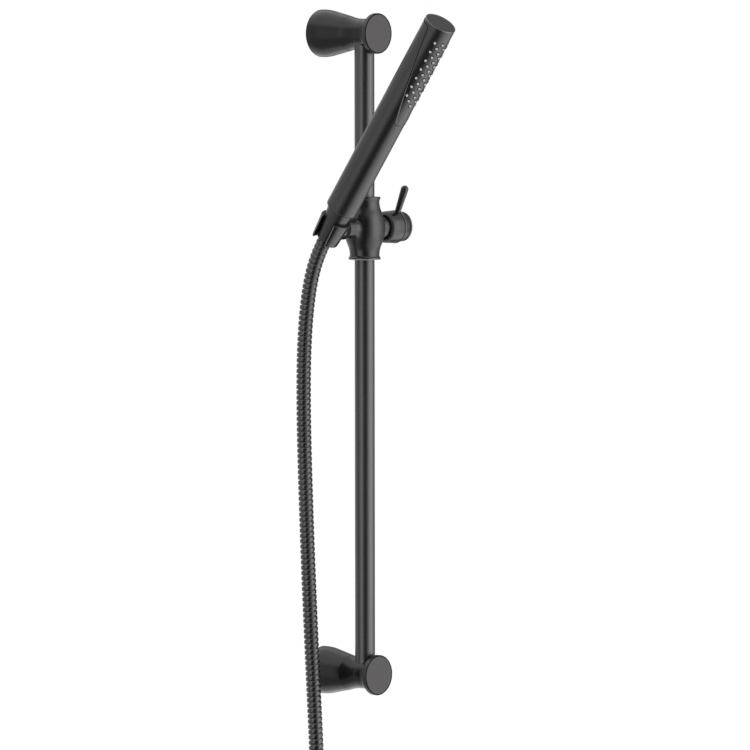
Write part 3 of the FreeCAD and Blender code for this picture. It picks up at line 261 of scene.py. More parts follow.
def make_world():
    """White to the eye, with soft panels round the set that only its gloss shows."""
    world = bpy.data.worlds.new("studio")
    world.use_nodes = True
    nodes, links = world.node_tree.nodes, world.node_tree.links
    plain_light = nodes["Background"]
    plain_light.inputs["Color"].default_value = (1, 1, 1, 1)
    plain_light.inputs["Strength"].default_value = PLAIN_STRENGTH
    place = nodes.new("ShaderNodeTexCoord")
    turn = nodes.new("ShaderNodeVectorRotate")
    turn.rotation_type = "Z_AXIS"
    turn.inputs["Angle"].default_value = math.radians(90 + CAMERA_AZIMUTH)
    links.new(place.outputs["Generated"], turn.inputs["Vector"])
    bearing = nodes.new("ShaderNodeTexGradient")
    bearing.gradient_type = "RADIAL"
    links.new(turn.outputs["Vector"], bearing.inputs["Vector"])
    level, high, low = (ramp_node(nodes, levels) for levels in (STUDIO, STUDIO_HIGH, STUDIO_LOW))
    for ramp in (level, high, low):
        links.new(bearing.outputs["Fac"], ramp.inputs["Fac"])
    climb = nodes.new("ShaderNodeSeparateXYZ")
    links.new(place.outputs["Generated"], climb.inputs["Vector"])
    shown = level.outputs["Color"]
    for (first, alone), ramp in ((HIGH_FADE, high), (LOW_FADE, low)):
        share = nodes.new("ShaderNodeMapRange")
        share.interpolation_type = "SMOOTHSTEP"
        share.inputs["From Min"].default_value = first
        share.inputs["From Max"].default_value = alone
        links.new(climb.outputs["Z"], share.inputs["Value"])
        mix = nodes.new("ShaderNodeMix")
        mix.data_type = "RGBA"
        links.new(share.outputs["Result"], mix.inputs["Factor"])
        links.new(shown, mix.inputs["A"])
        links.new(ramp.outputs["Color"], mix.inputs["B"])
        shown = mix.outputs["Result"]
    gloss = nodes.new("ShaderNodeBackground")
    gloss.inputs["Strength"].default_value = STUDIO_PEAK
    links.new(shown, gloss.inputs["Color"])
    white = nodes.new("ShaderNodeBackground")
    white.inputs["Color"].default_value = (1, 1, 1, 1)
    path = nodes.new("ShaderNodeLightPath")
    lit = nodes.new("ShaderNodeMixShader")
    links.new(path.outputs["Is Glossy Ray"], lit.inputs["Fac"])
    links.new(plain_light.outputs["Background"], lit.inputs[1])
    links.new(gloss.outputs["Background"], lit.inputs[2])
    seen = nodes.new("ShaderNodeMixShader")
    links.new(path.outputs["Is Camera Ray"], seen.inputs["Fac"])
    links.new(lit.outputs["Shader"], seen.inputs[1])
    links.new(white.outputs["Background"], seen.inputs[2])
    links.new(seen.outputs["Shader"], nodes["World Output"].inputs["Surface"])
    bpy.context.scene.world = world


def make_floor():
    """A pale floor that reads as white, keeps a faint shadow and isn't seen in the gloss."""
    bpy.ops.mesh.primitive_plane_add(size=FLOOR_SIZE, location=(0, 0, FLOOR_HEIGHT))
    floor = bpy.context.object
    floor.name = "floor"
    floor.visible_glossy = False
    material = plain("pale_floor", (FLOOR_GREY,) * 3, FLOOR_ROUGHNESS)
    nodes, links = material.node_tree.nodes, material.node_tree.links
    white = nodes.new("ShaderNodeEmission")
    white.inputs["Strength"].default_value = FLOOR_GLOW
    path = nodes.new("ShaderNodeLightPath")
    share = nodes.new("ShaderNodeMath")
    share.operation = "MULTIPLY"
    share.inputs[1].default_value = FLOOR_GLOW_SHARE
    links.new(path.outputs["Is Camera Ray"], share.inputs[0])
    seen = nodes.new("ShaderNodeMixShader")
    links.new(share.outputs[0], seen.inputs["Fac"])
    links.new(nodes["Principled BSDF"].outputs["BSDF"], seen.inputs[1])
    links.new(white.outputs["Emission"], seen.inputs[2])
    links.new(seen.outputs["Shader"], nodes["Material Output"].inputs["Surface"])
    floor.data.materials.append(material)


def make_lamp(name, place, width, height, power):
    """A soft rectangular lamp that faces the origin and isn't seen in the gloss."""
    data = bpy.data.lights.new(name, "AREA")
    data.shape = "RECTANGLE"
    data.size = width
    data.size_y = height
    data.energy = power
    lamp = bpy.data.objects.new(name, data)
    bpy.context.scene.collection.objects.link(lamp)
    lamp.visible_glossy = False
    lamp.location = place
    lamp.rotation_euler = (-Vector(place)).to_track_quat("-Z", "Y").to_euler()


def make_stage():
    """The world, the floor and the lamps."""
    make_world()
    make_floor()
    for lamp in LAMPS:
        make_lamp(*lamp)


# --- the handset's frame -------------------------------------------------------------------------

HANDSET_X = -48.5
HANDSET_LEAN = math.radians(35.4)
HANDSET_TURN = math.radians(7.8)
HANDSET_RADIUS = 15.15
HANDSET_TOP = 238.5
TILT_CENTRE = Vector((HANDSET_X, BAR_Y, SLIDER_HEIGHT))
# The handset's own frame: Z up its axis from the tilt axis, -Y towards the spray.
HANDSET_ATTITUDE = (Matrix.Rotation(HANDSET_LEAN, 3, "X")
                    @ Matrix.Rotation(HANDSET_TURN, 3, "Z"))
HANDSET_FRAME = Matrix.Translation(TILT_CENTRE * MM) @ HANDSET_ATTITUDE.to_4x4()


def handset_spot(x, y, z):
    """A point given in the handset's own frame."""
    return TILT_CENTRE + HANDSET_ATTITUDE @ Vector((x, y, z))


def along_handset(distance):
    """The point on the handset's axis at a distance from the tilt axis."""
    return Vector((HANDSET_X, BAR_Y - distance * math.sin(HANDSET_LEAN),
                   SLIDER_HEIGHT + distance * math.cos(HANDSET_LEAN)))


# --- making pieces -------------------------------------------------------------------------------

def linked(name, data, material):
    """A new object of this data in the scene, with one material."""
    piece = bpy.data.objects.new(name, data)
    bpy.context.scene.collection.objects.link(piece)
    data.materials.clear()
    data.materials.append(material)
    return piece


def mesh_of(name, form):
    """A smooth mesh made from a bmesh, which is freed."""
    bmesh.ops.recalc_face_normals(form, faces=form.faces[:])
    for face in form.faces:
        # A tree may number its material second.
        face.material_index = 0
    mesh = bpy.data.meshes.new(name)
    form.to_mesh(mesh)
    form.free()
    mesh.shade_smooth()
    return mesh


class Tree:
    """A geometry tree in the making, with its sizes as named inputs."""

    def __init__(self, name, **sizes):
        self.group = bpy.data.node_groups.new(name, "GeometryNodeTree")
        self.sizes = {label.replace("_", " "): value for label, value in sizes.items()}
        face = self.group.interface
        face.new_socket("Geometry", in_out="INPUT", socket_type="NodeSocketGeometry")
        for label, value in self.sizes.items():
            kind = "NodeSocketInt" if isinstance(value, int) else "NodeSocketFloat"
            face.new_socket(label, in_out="INPUT", socket_type=kind)
        face.new_socket("Geometry", in_out="OUTPUT", socket_type="NodeSocketGeometry")
        self.entry = self.group.nodes.new("NodeGroupInput").outputs

    def feed(self, socket, value):
        """Gives an input a plain value, or links it to the socket that feeds it."""
        if isinstance(value, bpy.types.NodeSocket):
            self.group.links.new(value, socket)
        else:
            socket.default_value = value

    def add(self, kind, mode=None, **inputs):
        """The outputs of a new node with these inputs."""
        node = self.group.nodes.new(kind)
        if mode:
            node.mode = mode
        for label, value in inputs.items():
            self.feed(node.inputs[label.replace("_", " ")], value)
        return node.outputs

    def math(self, operation, *values):
        """A sum done with numbers."""
        node = self.group.nodes.new("ShaderNodeMath")
        node.operation = operation
        for socket, value in zip(node.inputs, values):
            self.feed(socket, value)
        return node.outputs[0]

    def vector(self, operation, *values, scale=None):
        """A sum done with vectors; only SCALE has a scale."""
        node = self.group.nodes.new("ShaderNodeVectorMath")
        node.operation = operation
        for socket, value in zip(node.inputs, values):
            self.feed(socket, value)
        if scale is not None:
            self.feed(node.inputs["Scale"], scale)
        return node.outputs["Vector"]

    def form_of(self, shape, material, base):
        """A bmesh of this shape as the finished tree makes it on a base, with no modifier left."""
        real = self.add("GeometryNodeRealizeInstances", Geometry=shape)["Geometry"]
        done = self.add("GeometryNodeSetMaterial", Geometry=real, Material=material)["Geometry"]
        leave = self.group.nodes.new("NodeGroupOutput")
        self.group.links.new(done, leave.inputs["Geometry"])
        carrier = bpy.data.objects.new(self.group.name, base)
        bpy.context.scene.collection.objects.link(carrier)
        modifier = carrier.modifiers.new(self.group.name, "NODES")
        modifier.node_group = self.group
        for socket in self.group.interface.items_tree:
            if socket.name in self.sizes:
                modifier[socket.identifier] = self.sizes[socket.name]
        bpy.context.view_layer.update()
        shaped = carrier.evaluated_get(bpy.context.evaluated_depsgraph_get())
        form = bmesh.new()
        form.from_mesh(bpy.data.meshes.new_from_object(shaped))
        bpy.data.objects.remove(carrier)
        return form


# --- hose ----------------------------------------------------------------------------------------

HOSE_RADIUS = 7.0
HOSE_PITCH = 5.05
HOSE_GROOVE = 1.9
HOSE_SQUARE = 2.8
HOSE_SIDES = 28
STEPS_PER_RIB = 9
ROUTE_DETAIL = 24
# Corners of the tube's mesh nearer than this become one.
WELD = 0.002

# The hose leaves the handset along its axis, between these two distances from the tilt axis.
HOSE_START = -5
HOSE_STRAIGHT = -26
# Lengths along the hose: its first piece ends at the one, and its bend has faded out at the other.
UPPER_LENGTH = 36

COIL_TURNS = 2
COIL_PITCH = 14.6
COIL_RADIUS = 70.0
COIL_Y = -36.7
COIL_HEIGHT = -458.0
COIL_END = 44.0
COIL_LEAD = 12.0
COIL_STEPS = 16

# (Y, Z) of the spline's control points down the hanging length.
HANGING = (
    (-28.2, 68), (-21.4, 18), (-20.2, -50), (-23.2, -140), (-27.8, -235), (-33.5, -330),
    (COIL_Y, -384), (COIL_Y, COIL_HEIGHT + COIL_END), (COIL_Y, COIL_HEIGHT + COIL_LEAD))


def smooth_line(points):
    """Points along the NURBS spline that has these control points, in metres."""
    curve = bpy.data.curves.new("route", "CURVE")
    curve.dimensions = "3D"
    curve.resolution_u = ROUTE_DETAIL
    spline = curve.splines.new("NURBS")
    spline.points.add(len(points) - 1)
    for point, spot in zip(spline.points, points):
        point.co = (*(Vector(spot) * MM), 1)
    spline.order_u = 3
    spline.use_endpoint_u = True
    route = bpy.data.objects.new("route", curve)
    bpy.context.scene.collection.objects.link(route)
    bpy.context.view_layer.update()
    shaped = route.evaluated_get(bpy.context.evaluated_depsgraph_get())
    line = np.array([vertex.co for vertex in bpy.data.meshes.new_from_object(shaped).vertices])
    bpy.data.objects.remove(route)
    return line


def distances(line):
    """The distance along a line of each of its points."""
    return np.concatenate([[0], np.cumsum(np.linalg.norm(np.diff(line, axis=0), axis=1))])


def wound_form(name, centres, start, length):
    """The ribbed tube round a row of centres, open at both ends.

    The rows of its grid run along the strip's own helix, so that no rib is cut by a row. The
    last column lies on the first one, a whole rib further on, and is merged with it.
    """
    pitch = HOSE_PITCH * MM
    tree = Tree(name, Rows=math.ceil(length / pitch * STEPS_PER_RIB) + 2 * STEPS_PER_RIB + 1,
                Sides=HOSE_SIDES, Steps=STEPS_PER_RIB, Pitch=pitch, Radius=HOSE_RADIUS * MM,
                Groove=HOSE_GROOVE * MM, Square=HOSE_SQUARE, Lead=float(start / pitch % 1),
                Weld=WELD * MM)
    size, sum_of = tree.entry, tree.math

    # Where each corner of the grid is: its row, and its column as a share of the way round.
    columns = sum_of("ADD", size["Sides"], 1)
    grid = tree.add("GeometryNodeMeshGrid", Vertices_X=size["Rows"], Vertices_Y=columns)
    index = tree.add("GeometryNodeInputIndex")["Index"]
    row = sum_of("FLOOR", sum_of("DIVIDE", index, columns))
    column = sum_of("SUBTRACT", index, sum_of("MULTIPLY", row, columns))
    share = sum_of("DIVIDE", column, size["Sides"])

    # How far along the centre line it lies, kept within its ends.
    curve = tree.add("GeometryNodeMeshToCurve", Mesh=size["Geometry"])["Curve"]
    whole = tree.add("GeometryNodeCurveLength", Curve=curve)["Length"]
    ribs = sum_of("SUBTRACT", sum_of("DIVIDE", row, size["Steps"]), share)
    wanted = sum_of("MULTIPLY", sum_of("SUBTRACT", ribs, size["Lead"]), size["Pitch"])
    run = sum_of("MINIMUM", sum_of("MAXIMUM", wanted, 0), whole)

    # How far through its rib it lies there, and so how far out.
    step = sum_of("DIVIDE", sum_of("MODULO", row, size["Steps"]), size["Steps"])
    held = sum_of("DIVIDE", sum_of("SUBTRACT", run, wanted), size["Pitch"])
    phase = sum_of("FLOORED_MODULO", sum_of("ADD", step, held), 1)
    aside = sum_of("ABSOLUTE", sum_of("SUBTRACT", sum_of("MULTIPLY", phase, 2), 1))
    hollow = sum_of("SUBTRACT", 1, sum_of("POWER", aside, size["Square"]))
    swell = sum_of("POWER", sum_of("MAXIMUM", hollow, 0), sum_of("DIVIDE", 1, size["Square"]))
    depth = sum_of("MULTIPLY", size["Groove"], sum_of("SUBTRACT", 1, swell))
    radius = sum_of("SUBTRACT", size["Radius"], depth)

    spot = tree.add("GeometryNodeSampleCurve", mode="LENGTH", Curves=curve, Length=run)
    other = tree.vector("CROSS_PRODUCT", spot["Tangent"], spot["Normal"])
    angle = sum_of("MULTIPLY", share, -2 * math.pi)
    out = tree.vector(
        "ADD", tree.vector("SCALE", spot["Normal"], scale=sum_of("COSINE", angle)),
        tree.vector("SCALE", other, scale=sum_of("SINE", angle)))
    place = tree.vector("ADD", spot["Position"], tree.vector("SCALE", out, scale=radius))
    tube = tree.add("GeometryNodeSetPosition", Geometry=grid["Mesh"], Position=place)
    closed = tree.add("GeometryNodeMergeByDistance", Geometry=tube["Geometry"],
                      Distance=size["Weld"])
    base = bpy.data.meshes.new("centres")
    base.from_pydata(centres, [(k, k + 1) for k in range(len(centres) - 1)], [])
    return tree.form_of(closed["Geometry"], HOSE_METAL, base)


def wound_tube(name, line, start):
    """A tube along a line with the round ribs of wound strip; start is its place in the hose.

    Returns the piece, its centre line and the place in the hose where it ends.
    """
    reached = distances(line)
    count = max(2, round(reached[-1] / (HOSE_PITCH * MM / STEPS_PER_RIB)) + 1)
    along = np.linspace(0, reached[-1], count)
    centres = np.stack([np.interp(along, reached, line[:, k]) for k in range(3)], axis=-1)
    form = wound_form(name, centres, start, along[-1])
    bmesh.ops.holes_fill(form, edges=[edge for edge in form.edges if edge.is_boundary], sides=0)
    loose = [vertex for vertex in form.verts if not vertex.link_faces]
    bmesh.ops.delete(form, geom=loose, context="VERTS")
    path = [tuple(point) for point in centres[::STEPS_PER_RIB]] + [tuple(centres[-1])]
    return linked(name, mesh_of(name, form), HOSE_METAL), path, start + along[-1]


def coil_points():
    """Control points of the coil's turns, from the hanging hose down to the nut's end."""
    # The spline runs inside its control points, so these lie on a slightly larger circle.
    reach = COIL_RADIUS / (0.75 + 0.25 * math.cos(2 * math.pi / COIL_STEPS))
    middle = COIL_Y - COIL_RADIUS
    points = []
    for step in range(1, COIL_TURNS * COIL_STEPS):
        turn = -2 * math.pi * step / COIL_STEPS
        points.append((HANDSET_X - COIL_PITCH * step / COIL_STEPS,
                       middle + reach * math.cos(turn), COIL_HEIGHT + reach * math.sin(turn)))
    return points


def make_hose():
    """The wound hose: a short piece under the handset, then the hanging length and its coil."""
    tail_x = HANDSET_X - COIL_TURNS * COIL_PITCH
    points = [along_handset(HOSE_START), along_handset(HOSE_STRAIGHT)]
    points += [(HANDSET_X, y, z) for y, z in HANGING]
    points += coil_points()
    points += [(tail_x, COIL_Y, COIL_HEIGHT - COIL_LEAD), (tail_x, COIL_Y, COIL_HEIGHT - COIL_END)]
    line = smooth_line(points)
    run = distances(line)
    split = int(np.searchsorted(run, UPPER_LENGTH * MM))
    upper, upper_path, reached = wound_tube("hose_upper", line[:split + 1], 0.0)
    lower, lower_path, end = wound_tube("hose_lower", line[split:], reached)
    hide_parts("hose_tube")
    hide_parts("hose_coil")
    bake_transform(upper)
    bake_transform(lower)


# --- fine lines ----------------------------------------------------------------------------------

# The seam round the spray face: level across the back, rounded into a long straight fall towards
# the front, and rounded again into its level lower end. Depths are below the handset's top, and
# back is the distance behind its axis.
SEAM_TOP_DEPTH = 3.6
SEAM_TOP_BACK = 3.6
SEAM_CORNER_BACK = 3.5
SEAM_CORNER_WIDTH = 2.5
SEAM_CORNER_DROP = 4.3
SEAM_FALL = 0.13447
SEAM_FALL_FIRST = 9
SEAM_FALL_LAST = 103
SEAM_END_BACK = -11.8
SEAM_END_WIDTH = 2.8
SEAM_END_DROP = 4
# How many points each stretch of it has: back, one rounded corner, long fall, lower end.
BACK_POINTS, CORNER_POINTS, FALL_POINTS, END_POINTS = 16, 8, 40, 5

# The lip along the seam: it grows down the straight part and is pinched at its end. It is a real
# raised lip, with a painted highlight in its lighter colour.
LIP_START = 38
LIP_GROWTH = 40
LIP_FINE = 0.05
LIP_FULL = 1.3
LIP_PINCH = 2.5
LIP_END = 0.3

RING_POINTS = 64
BEAD_DETAIL = 3

NOZZLE_COLUMNS = 7
NOZZLE_ROWS = 7
# The columns this many places off the middle one have one more row.
LONG_COLUMN = 1
COLUMN_TURN = 15.75
FIRST_NOZZLE_DEPTH = 14.2
NOZZLE_SPACING = 9.9
# The rim round each nozzle is a dark ring of painted shade.
NOZZLE_RIM_RADIUS = 1.72
NOZZLE_RIM_POINTS = 20
NOZZLE_RIM_THICKNESS = 0.26
NOZZLE_RIM_SIDES = 10

# A lighter ring just inside the handset's top end: a painted highlight on its rim.
TOP_RIM_INSET = 0.3
TOP_RIM_DEPTH = 0.35
# Dark rings of painted shade round the two post caps.
CAP_RIM_RADIUS = 18.4
CAP_RIM_FORWARD = 17.5
# A pale ring of painted highlight along the slider's lower edge.
SLIDER_RIM_RADIUS = 14.95
SLIDER_RIM_DROP = 29.35

# The cradle's mouth: a slot cut into a cone, at heights above the tilt axis.
JAW_LOW = -11.2
JAW_HIGH = 11.7
JAW_FOOT = -12
JAW_FOOT_RADIUS = 13.1
JAW_LENGTH = 24.5
JAW_FLARE = 1.7
JAW_HALF_SLOT = 8
JAW_TURN = math.radians(189)
JAW_POINTS = 8

# A lighter ring round the knob near its cap: a painted highlight on top of its real gloss.
KNOB_RING_X = 42.3
KNOB_RING_RADIUS = 15.4
# The knob's rounded back edge: the middle of its arc as (X, radius), then (degrees, reach) of
# each corner of the thin skin over it, out along the arc and back under it.
KNOB_ARC = (28.995, 10.306)
KNOB_SKIN = (
    (154, 4.73), (152, 4.74), (144, 4.74), (136, 4.74), (128, 4.74), (120, 4.73), (112, 4.72),
    (104, 4.70), (96, 4.66), (89, 4.63), (87, 4.61), (87, 4.3), (96, 4.3), (120, 4.3), (154, 4.3))
KNOB_SKIN_STEPS = 72


def ring(radius, spot):
    """Points of a circle; spot makes a place out of its two coordinates."""
    turns = (2 * math.pi * step / RING_POINTS for step in range(RING_POINTS))
    return [spot(radius * math.cos(turn), radius * math.sin(turn)) for turn in turns]


def bead(name, lines, thick, material, body, closed=True):
    """Fine lines of round section, moving with its body.

    A point may have a fourth number, the share of the thickness there.
    """
    curve = bpy.data.curves.new(name, "CURVE")
    curve.dimensions = "3D"
    curve.bevel_depth = thick * MM
    curve.bevel_resolution = BEAD_DETAIL
    curve.use_fill_caps = not closed
    for points in lines:
        spline = curve.splines.new("POLY")
        spline.points.add(len(points) - 1)
        for place, point in zip(spline.points, points):
            place.co = (*(Vector(point[:3]) * MM), 1)
            place.radius = point[3] if len(point) > 3 else 1
        spline.use_cyclic_u = closed
    piece = linked(name, curve, material)
    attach(piece, body)


def seam_line():
    """The spray face's seam down one side: each point's turn round the axis and its depth."""
    corner = np.linspace(0, math.pi / 2, CORNER_POINTS + 1)[1:]
    straight_depth = SEAM_TOP_DEPTH + SEAM_CORNER_DROP
    straight_back = SEAM_CORNER_BACK - SEAM_CORNER_WIDTH
    points = [(SEAM_CORNER_BACK - SEAM_CORNER_WIDTH * math.sin(turn),
               SEAM_TOP_DEPTH + SEAM_CORNER_DROP * (1 - math.cos(turn))) for turn in corner]
    points += [(straight_back - (depth - straight_depth) * SEAM_FALL, depth)
               for depth in np.linspace(SEAM_FALL_FIRST, SEAM_FALL_LAST, FALL_POINTS)]
    points += [(SEAM_END_BACK - SEAM_END_WIDTH * (1 - math.cos(turn)),
                SEAM_FALL_LAST + SEAM_END_DROP * math.sin(turn)) for turn in corner]
    first = math.asin(SEAM_TOP_BACK / HANDSET_RADIUS)
    last = math.asin((SEAM_END_BACK - SEAM_END_WIDTH) / HANDSET_RADIUS)
    side = [(turn, SEAM_TOP_DEPTH) for turn in np.linspace(math.pi / 2, first, BACK_POINTS)]
    side += [(math.asin(back / HANDSET_RADIUS), depth) for back, depth in points]
    side += [(turn, SEAM_FALL_LAST + SEAM_END_DROP)
             for turn in np.linspace(last, -math.pi / 2, END_POINTS + 1)[1:]]
    return side


def lip_share(depth):
    """How thick the lip is at a depth, as a share of its own thickness."""
    if depth > SEAM_FALL_LAST:
        return max(LIP_FULL - (depth - SEAM_FALL_LAST) / LIP_PINCH, LIP_END)
    return min(max((depth - LIP_START) / LIP_GROWTH, LIP_FINE), LIP_FULL)


def seam_bead(name, shift, reach, thick, material, share):
    """A line beside the seam, moved back by the shift and out of the surface by the reach."""
    side = seam_line()
    radius = HANDSET_RADIUS + reach
    points = []
    for hand, run in ((1, side), (-1, side[::-1])):
        for turn, depth in run:
            spot = handset_spot(hand * radius * math.cos(turn), radius * math.sin(turn) + shift,
                                HANDSET_TOP - depth - shift)
            points.append((*spot, share(depth)))
    bead(name, [points], thick, material, "handset")


def make_nozzle_shade_rings():
    """A ring of painted shade round each nozzle, in staggered columns on the handset's round
    front.
    """
    tree = Tree("nozzle_shade_rings", Columns=NOZZLE_COLUMNS, Rows=NOZZLE_ROWS, Long_Column=LONG_COLUMN,
                Column_Turn=math.radians(COLUMN_TURN), Spacing=NOZZLE_SPACING * MM,
                First_Height=(HANDSET_TOP - FIRST_NOZZLE_DEPTH) * MM,
                Rim_Radius=NOZZLE_RIM_RADIUS * MM, Rim_Points=NOZZLE_RIM_POINTS,
                Thickness=NOZZLE_RIM_THICKNESS * MM, Thickness_Points=NOZZLE_RIM_SIDES,
                Barrel_Radius=HANDSET_RADIUS * MM)
    size, sum_of = tree.entry, tree.math

    # A flat field of spots, with every second column half a place lower.
    most_rows = sum_of("ADD", size["Rows"], 1)
    grid = tree.add("GeometryNodeMeshGrid", Vertices_X=size["Columns"], Vertices_Y=most_rows)
    index = tree.add("GeometryNodeInputIndex")["Index"]
    column = sum_of("FLOOR", sum_of("DIVIDE", index, most_rows))
    row = sum_of("SUBTRACT", index, sum_of("MULTIPLY", column, most_rows))
    middle = sum_of("DIVIDE", sum_of("SUBTRACT", size["Columns"], 1), 2)
    off_middle = sum_of("SUBTRACT", column, middle)
    stagger = sum_of("DIVIDE", sum_of("MODULO", column, 2), 2)
    turned = sum_of("MULTIPLY", off_middle, size["Column Turn"])
    drop = sum_of("MULTIPLY", sum_of("ADD", row, stagger), size["Spacing"])
    flat = tree.add("ShaderNodeCombineXYZ", X=sum_of("MULTIPLY", turned, size["Barrel Radius"]),
                    Z=sum_of("SUBTRACT", size["First Height"], drop))
    spots = tree.add("GeometryNodeSetPosition", Geometry=grid["Mesh"], Position=flat["Vector"])

    # Only the long columns keep their last row.
    last_row = sum_of("GREATER_THAN", row, sum_of("SUBTRACT", size["Rows"], 0.5))
    off_long = sum_of("SUBTRACT", sum_of("ABSOLUTE", off_middle), size["Long Column"])
    short = sum_of("GREATER_THAN", sum_of("ABSOLUTE", off_long), 0.5)
    kept = tree.add("GeometryNodeDeleteGeometry", Geometry=spots["Geometry"],
                    Selection=sum_of("MULTIPLY", last_row, short))

    # A circle on each spot, bent with the field round the barrel.
    circle = tree.add("GeometryNodeCurvePrimitiveCircle", Resolution=size["Rim Points"],
                      Radius=size["Rim Radius"])
    circles = tree.add("GeometryNodeInstanceOnPoints", Points=kept["Geometry"],
                       Instance=circle["Curve"], Rotation=(math.pi / 2, 0, 0))
    real = tree.add("GeometryNodeRealizeInstances", Geometry=circles["Instances"])
    position = tree.add("GeometryNodeInputPosition")["Position"]
    place = tree.add("ShaderNodeSeparateXYZ", Vector=position)
    turn = sum_of("DIVIDE", place["X"], size["Barrel Radius"])
    aside = sum_of("MULTIPLY", sum_of("SINE", turn), size["Barrel Radius"])
    forward = sum_of("MULTIPLY", sum_of("COSINE", turn), size["Barrel Radius"])
    bent = tree.add("ShaderNodeCombineXYZ", X=aside, Y=sum_of("MULTIPLY", forward, -1),
                    Z=place["Z"])
    lines = tree.add("GeometryNodeSetPosition", Geometry=real["Geometry"],
                     Position=bent["Vector"])
    section = tree.add("GeometryNodeCurvePrimitiveCircle", Resolution=size["Thickness Points"],
                       Radius=size["Thickness"])
    edges = tree.add("GeometryNodeCurveToMesh", Curve=lines["Geometry"],
                     Profile_Curve=section["Curve"])
    form = tree.form_of(edges["Mesh"], PAINTED_SHADE_LINE, bpy.data.meshes.new("no_base"))
    form.transform(HANDSET_FRAME)
    piece = linked("nozzle_shade_rings", mesh_of("nozzle_shade_rings", form), PAINTED_SHADE_LINE)
    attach(piece, "handset")


def jaw_line():
    """The front edge of the slot in the cradle's mouth."""
    leaning = Matrix.Rotation(HANDSET_LEAN, 3, "X")
    points = []
    for height in np.linspace(JAW_LOW, JAW_HIGH, JAW_POINTS):
        radius = JAW_FOOT_RADIUS + JAW_FLARE * (height - JAW_FOOT) / JAW_LENGTH
        out = math.sqrt(radius ** 2 - JAW_HALF_SLOT ** 2)
        corner = Vector((out * math.cos(JAW_TURN) - JAW_HALF_SLOT * math.sin(JAW_TURN),
                         out * math.sin(JAW_TURN) + JAW_HALF_SLOT * math.cos(JAW_TURN), height))
        points.append(TILT_CENTRE + leaning @ corner)
    return points


def knob_collar():
    """A thin matt skin over the knob's rounded back edge. Its lighter colour is painted light over
    the dark reflection there.
    """
    profile = [(KNOB_ARC[0] + reach * math.cos(math.radians(turn)),
                KNOB_ARC[1] + reach * math.sin(math.radians(turn))) for turn, reach in KNOB_SKIN]
    form = bmesh.new()
    rows = []
    for step in range(KNOB_SKIN_STEPS):
        turn = 2 * math.pi * step / KNOB_SKIN_STEPS
        rows.append([form.verts.new((x * MM, (BAR_Y + radius * math.cos(turn)) * MM,
                                     (SLIDER_HEIGHT + radius * math.sin(turn)) * MM))
                     for x, radius in profile])
    for near, far in zip(rows, rows[1:] + rows[:1]):
        for k in range(len(profile)):
            form.faces.new((near[k - 1], near[k], far[k], far[k - 1]))
    piece = linked("knob_collar", mesh_of("knob_collar", form), KNOB_BACK_PAINTED_LIGHT)
    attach(piece, "knob")


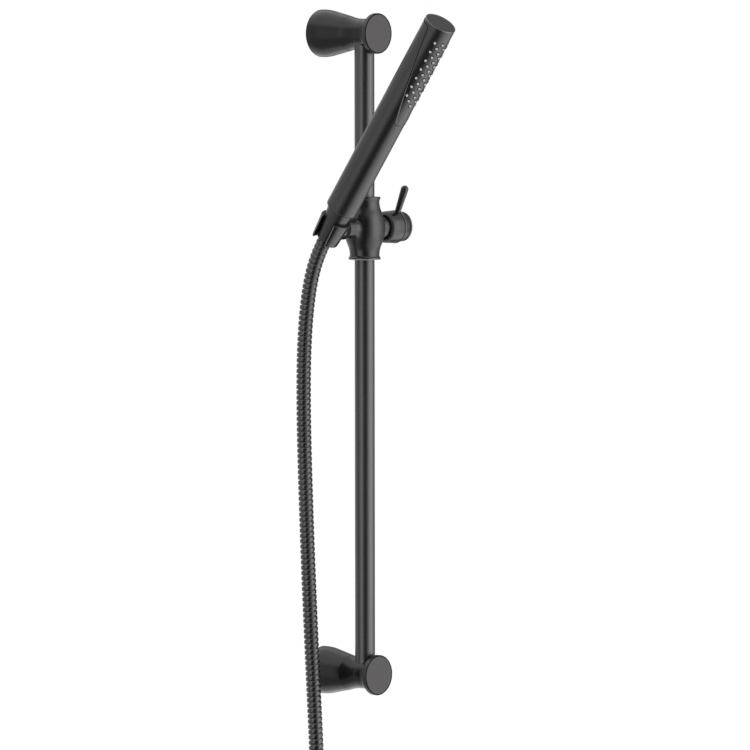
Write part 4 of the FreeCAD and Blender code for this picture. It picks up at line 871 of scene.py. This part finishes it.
def make_trim():
    """The fine edges and gaps: beads of painted shade in the gaps and of painted highlight on the
    edges, and the knob's lighter back skin.
    """
    seam_bead("face_shadow_line", shift=0.2, reach=-0.35, thick=0.55, material=PAINTED_SHADE_LINE,
              share=lambda depth: 1)
    # A raised lip beside the seam, lighter than the shell: painted highlight.
    seam_bead("face_lip_highlight", shift=-0.45, reach=-0.12, thick=0.45, material=BLACK_PAINTED_HIGHLIGHT,
              share=lip_share)
    make_nozzle_shade_rings()
    # A painted highlight round the handset's top end.
    top_rim = ring(HANDSET_RADIUS - TOP_RIM_INSET,
                   lambda a, b: handset_spot(a, b, HANDSET_TOP - TOP_RIM_DEPTH))
    bead("end_rim_highlight", [top_rim], thick=0.4, material=BLACK_PAINTED_HIGHLIGHT, body="handset")
    for end, height in (("upper", POST_HEIGHT), ("lower", -POST_HEIGHT)):
        # A dark ring of painted shade round each post cap.
        cap_rim = ring(CAP_RIM_RADIUS, lambda a, b: (a, BAR_Y - CAP_RIM_FORWARD, height + b))
        bead(end + "_cap_shade_ring", [cap_rim], thick=0.55, material=PAINTED_SHADE_LINE,
             body="wall_set")
    # A painted highlight along the slider's lower edge.
    slider_rim = ring(SLIDER_RIM_RADIUS,
                      lambda a, b: (a, BAR_Y + b, SLIDER_HEIGHT - SLIDER_RIM_DROP))
    bead("slider_lower_highlight", [slider_rim], thick=0.5, material=PALE_PAINTED_HIGHLIGHT,
         body="slider")
    # A lighter bead down the front edge of the cradle's slot: a painted highlight.
    bead("jaw_edge_highlight", [jaw_line()], thick=0.4, material=BLACK_PAINTED_HIGHLIGHT, body="holder",
         closed=False)
    # A painted highlight round the knob.
    knob_ring_highlight = ring(KNOB_RING_RADIUS, lambda a, b: (KNOB_RING_X, BAR_Y + a, SLIDER_HEIGHT + b))
    bead("knob_ring_highlight", [knob_ring_highlight], thick=0.5, material=BLACK_PAINTED_HIGHLIGHT, body="knob")
    knob_collar()


# --- CAD pieces ----------------------------------------------------------------------------------

FINISHES = {
    BLACK: ["bar_tube", "hose_ferrule", "supply_nut", "supply_ferrule"],
    BLACK_SHELL: ["wand_shell", "spray_face"],
    BLACK_CAST: ["slider_body", "cone_nut"],
    BLACK_POST: ["upper_post", "lower_post"],
    BLACK_KNOB: ["clamp_knob", "clamp_lever", "knob_cap", "cradle"],
    BLACK_DISC: ["upper_post_cap", "lower_post_cap"],
    BLACK_PLASTIC: ["upper_bush", "lower_bush", "thrust_washer", "brake_shoe", "upper_bar_plug",
                    "lower_bar_plug", "hose_tie"],
    # The detent rings take painted shade.
    PLASTIC_PAINTED_SHADE: ["fixed_detent_ring", "moving_detent_ring"],
    RUBBER: ["upper_wall_gasket", "lower_wall_gasket", "inlet_washer", "inlet_gasket",
             "supply_washer", "face_seal"],
    STEEL: ["post_set_screws", "bar_lock_screws", "pivot_bolt", "knob_screw", "wave_washer"],
    BRASS: ["clamp_screw", "inlet_nipple"],
    CASTING: ["upper_wall_bracket", "lower_wall_bracket"],
    WHITE_PLASTIC: ["check_valve", "flow_restrictor", "water_tube", "spray_tray"],
    SILICONE: ["nozzle_mat"],
    HOSE_METAL: ["hose_tube", "hose_coil"],
}


def finish_nodes():
    """Each CAD piece gets the one material of its finish."""
    for material, names in FINISHES.items():
        for name in names:
            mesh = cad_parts[name].data
            mesh.materials.clear()
            mesh.materials.append(material)


make_camera()
make_hose()
make_trim()
make_stage()
finish_nodes()
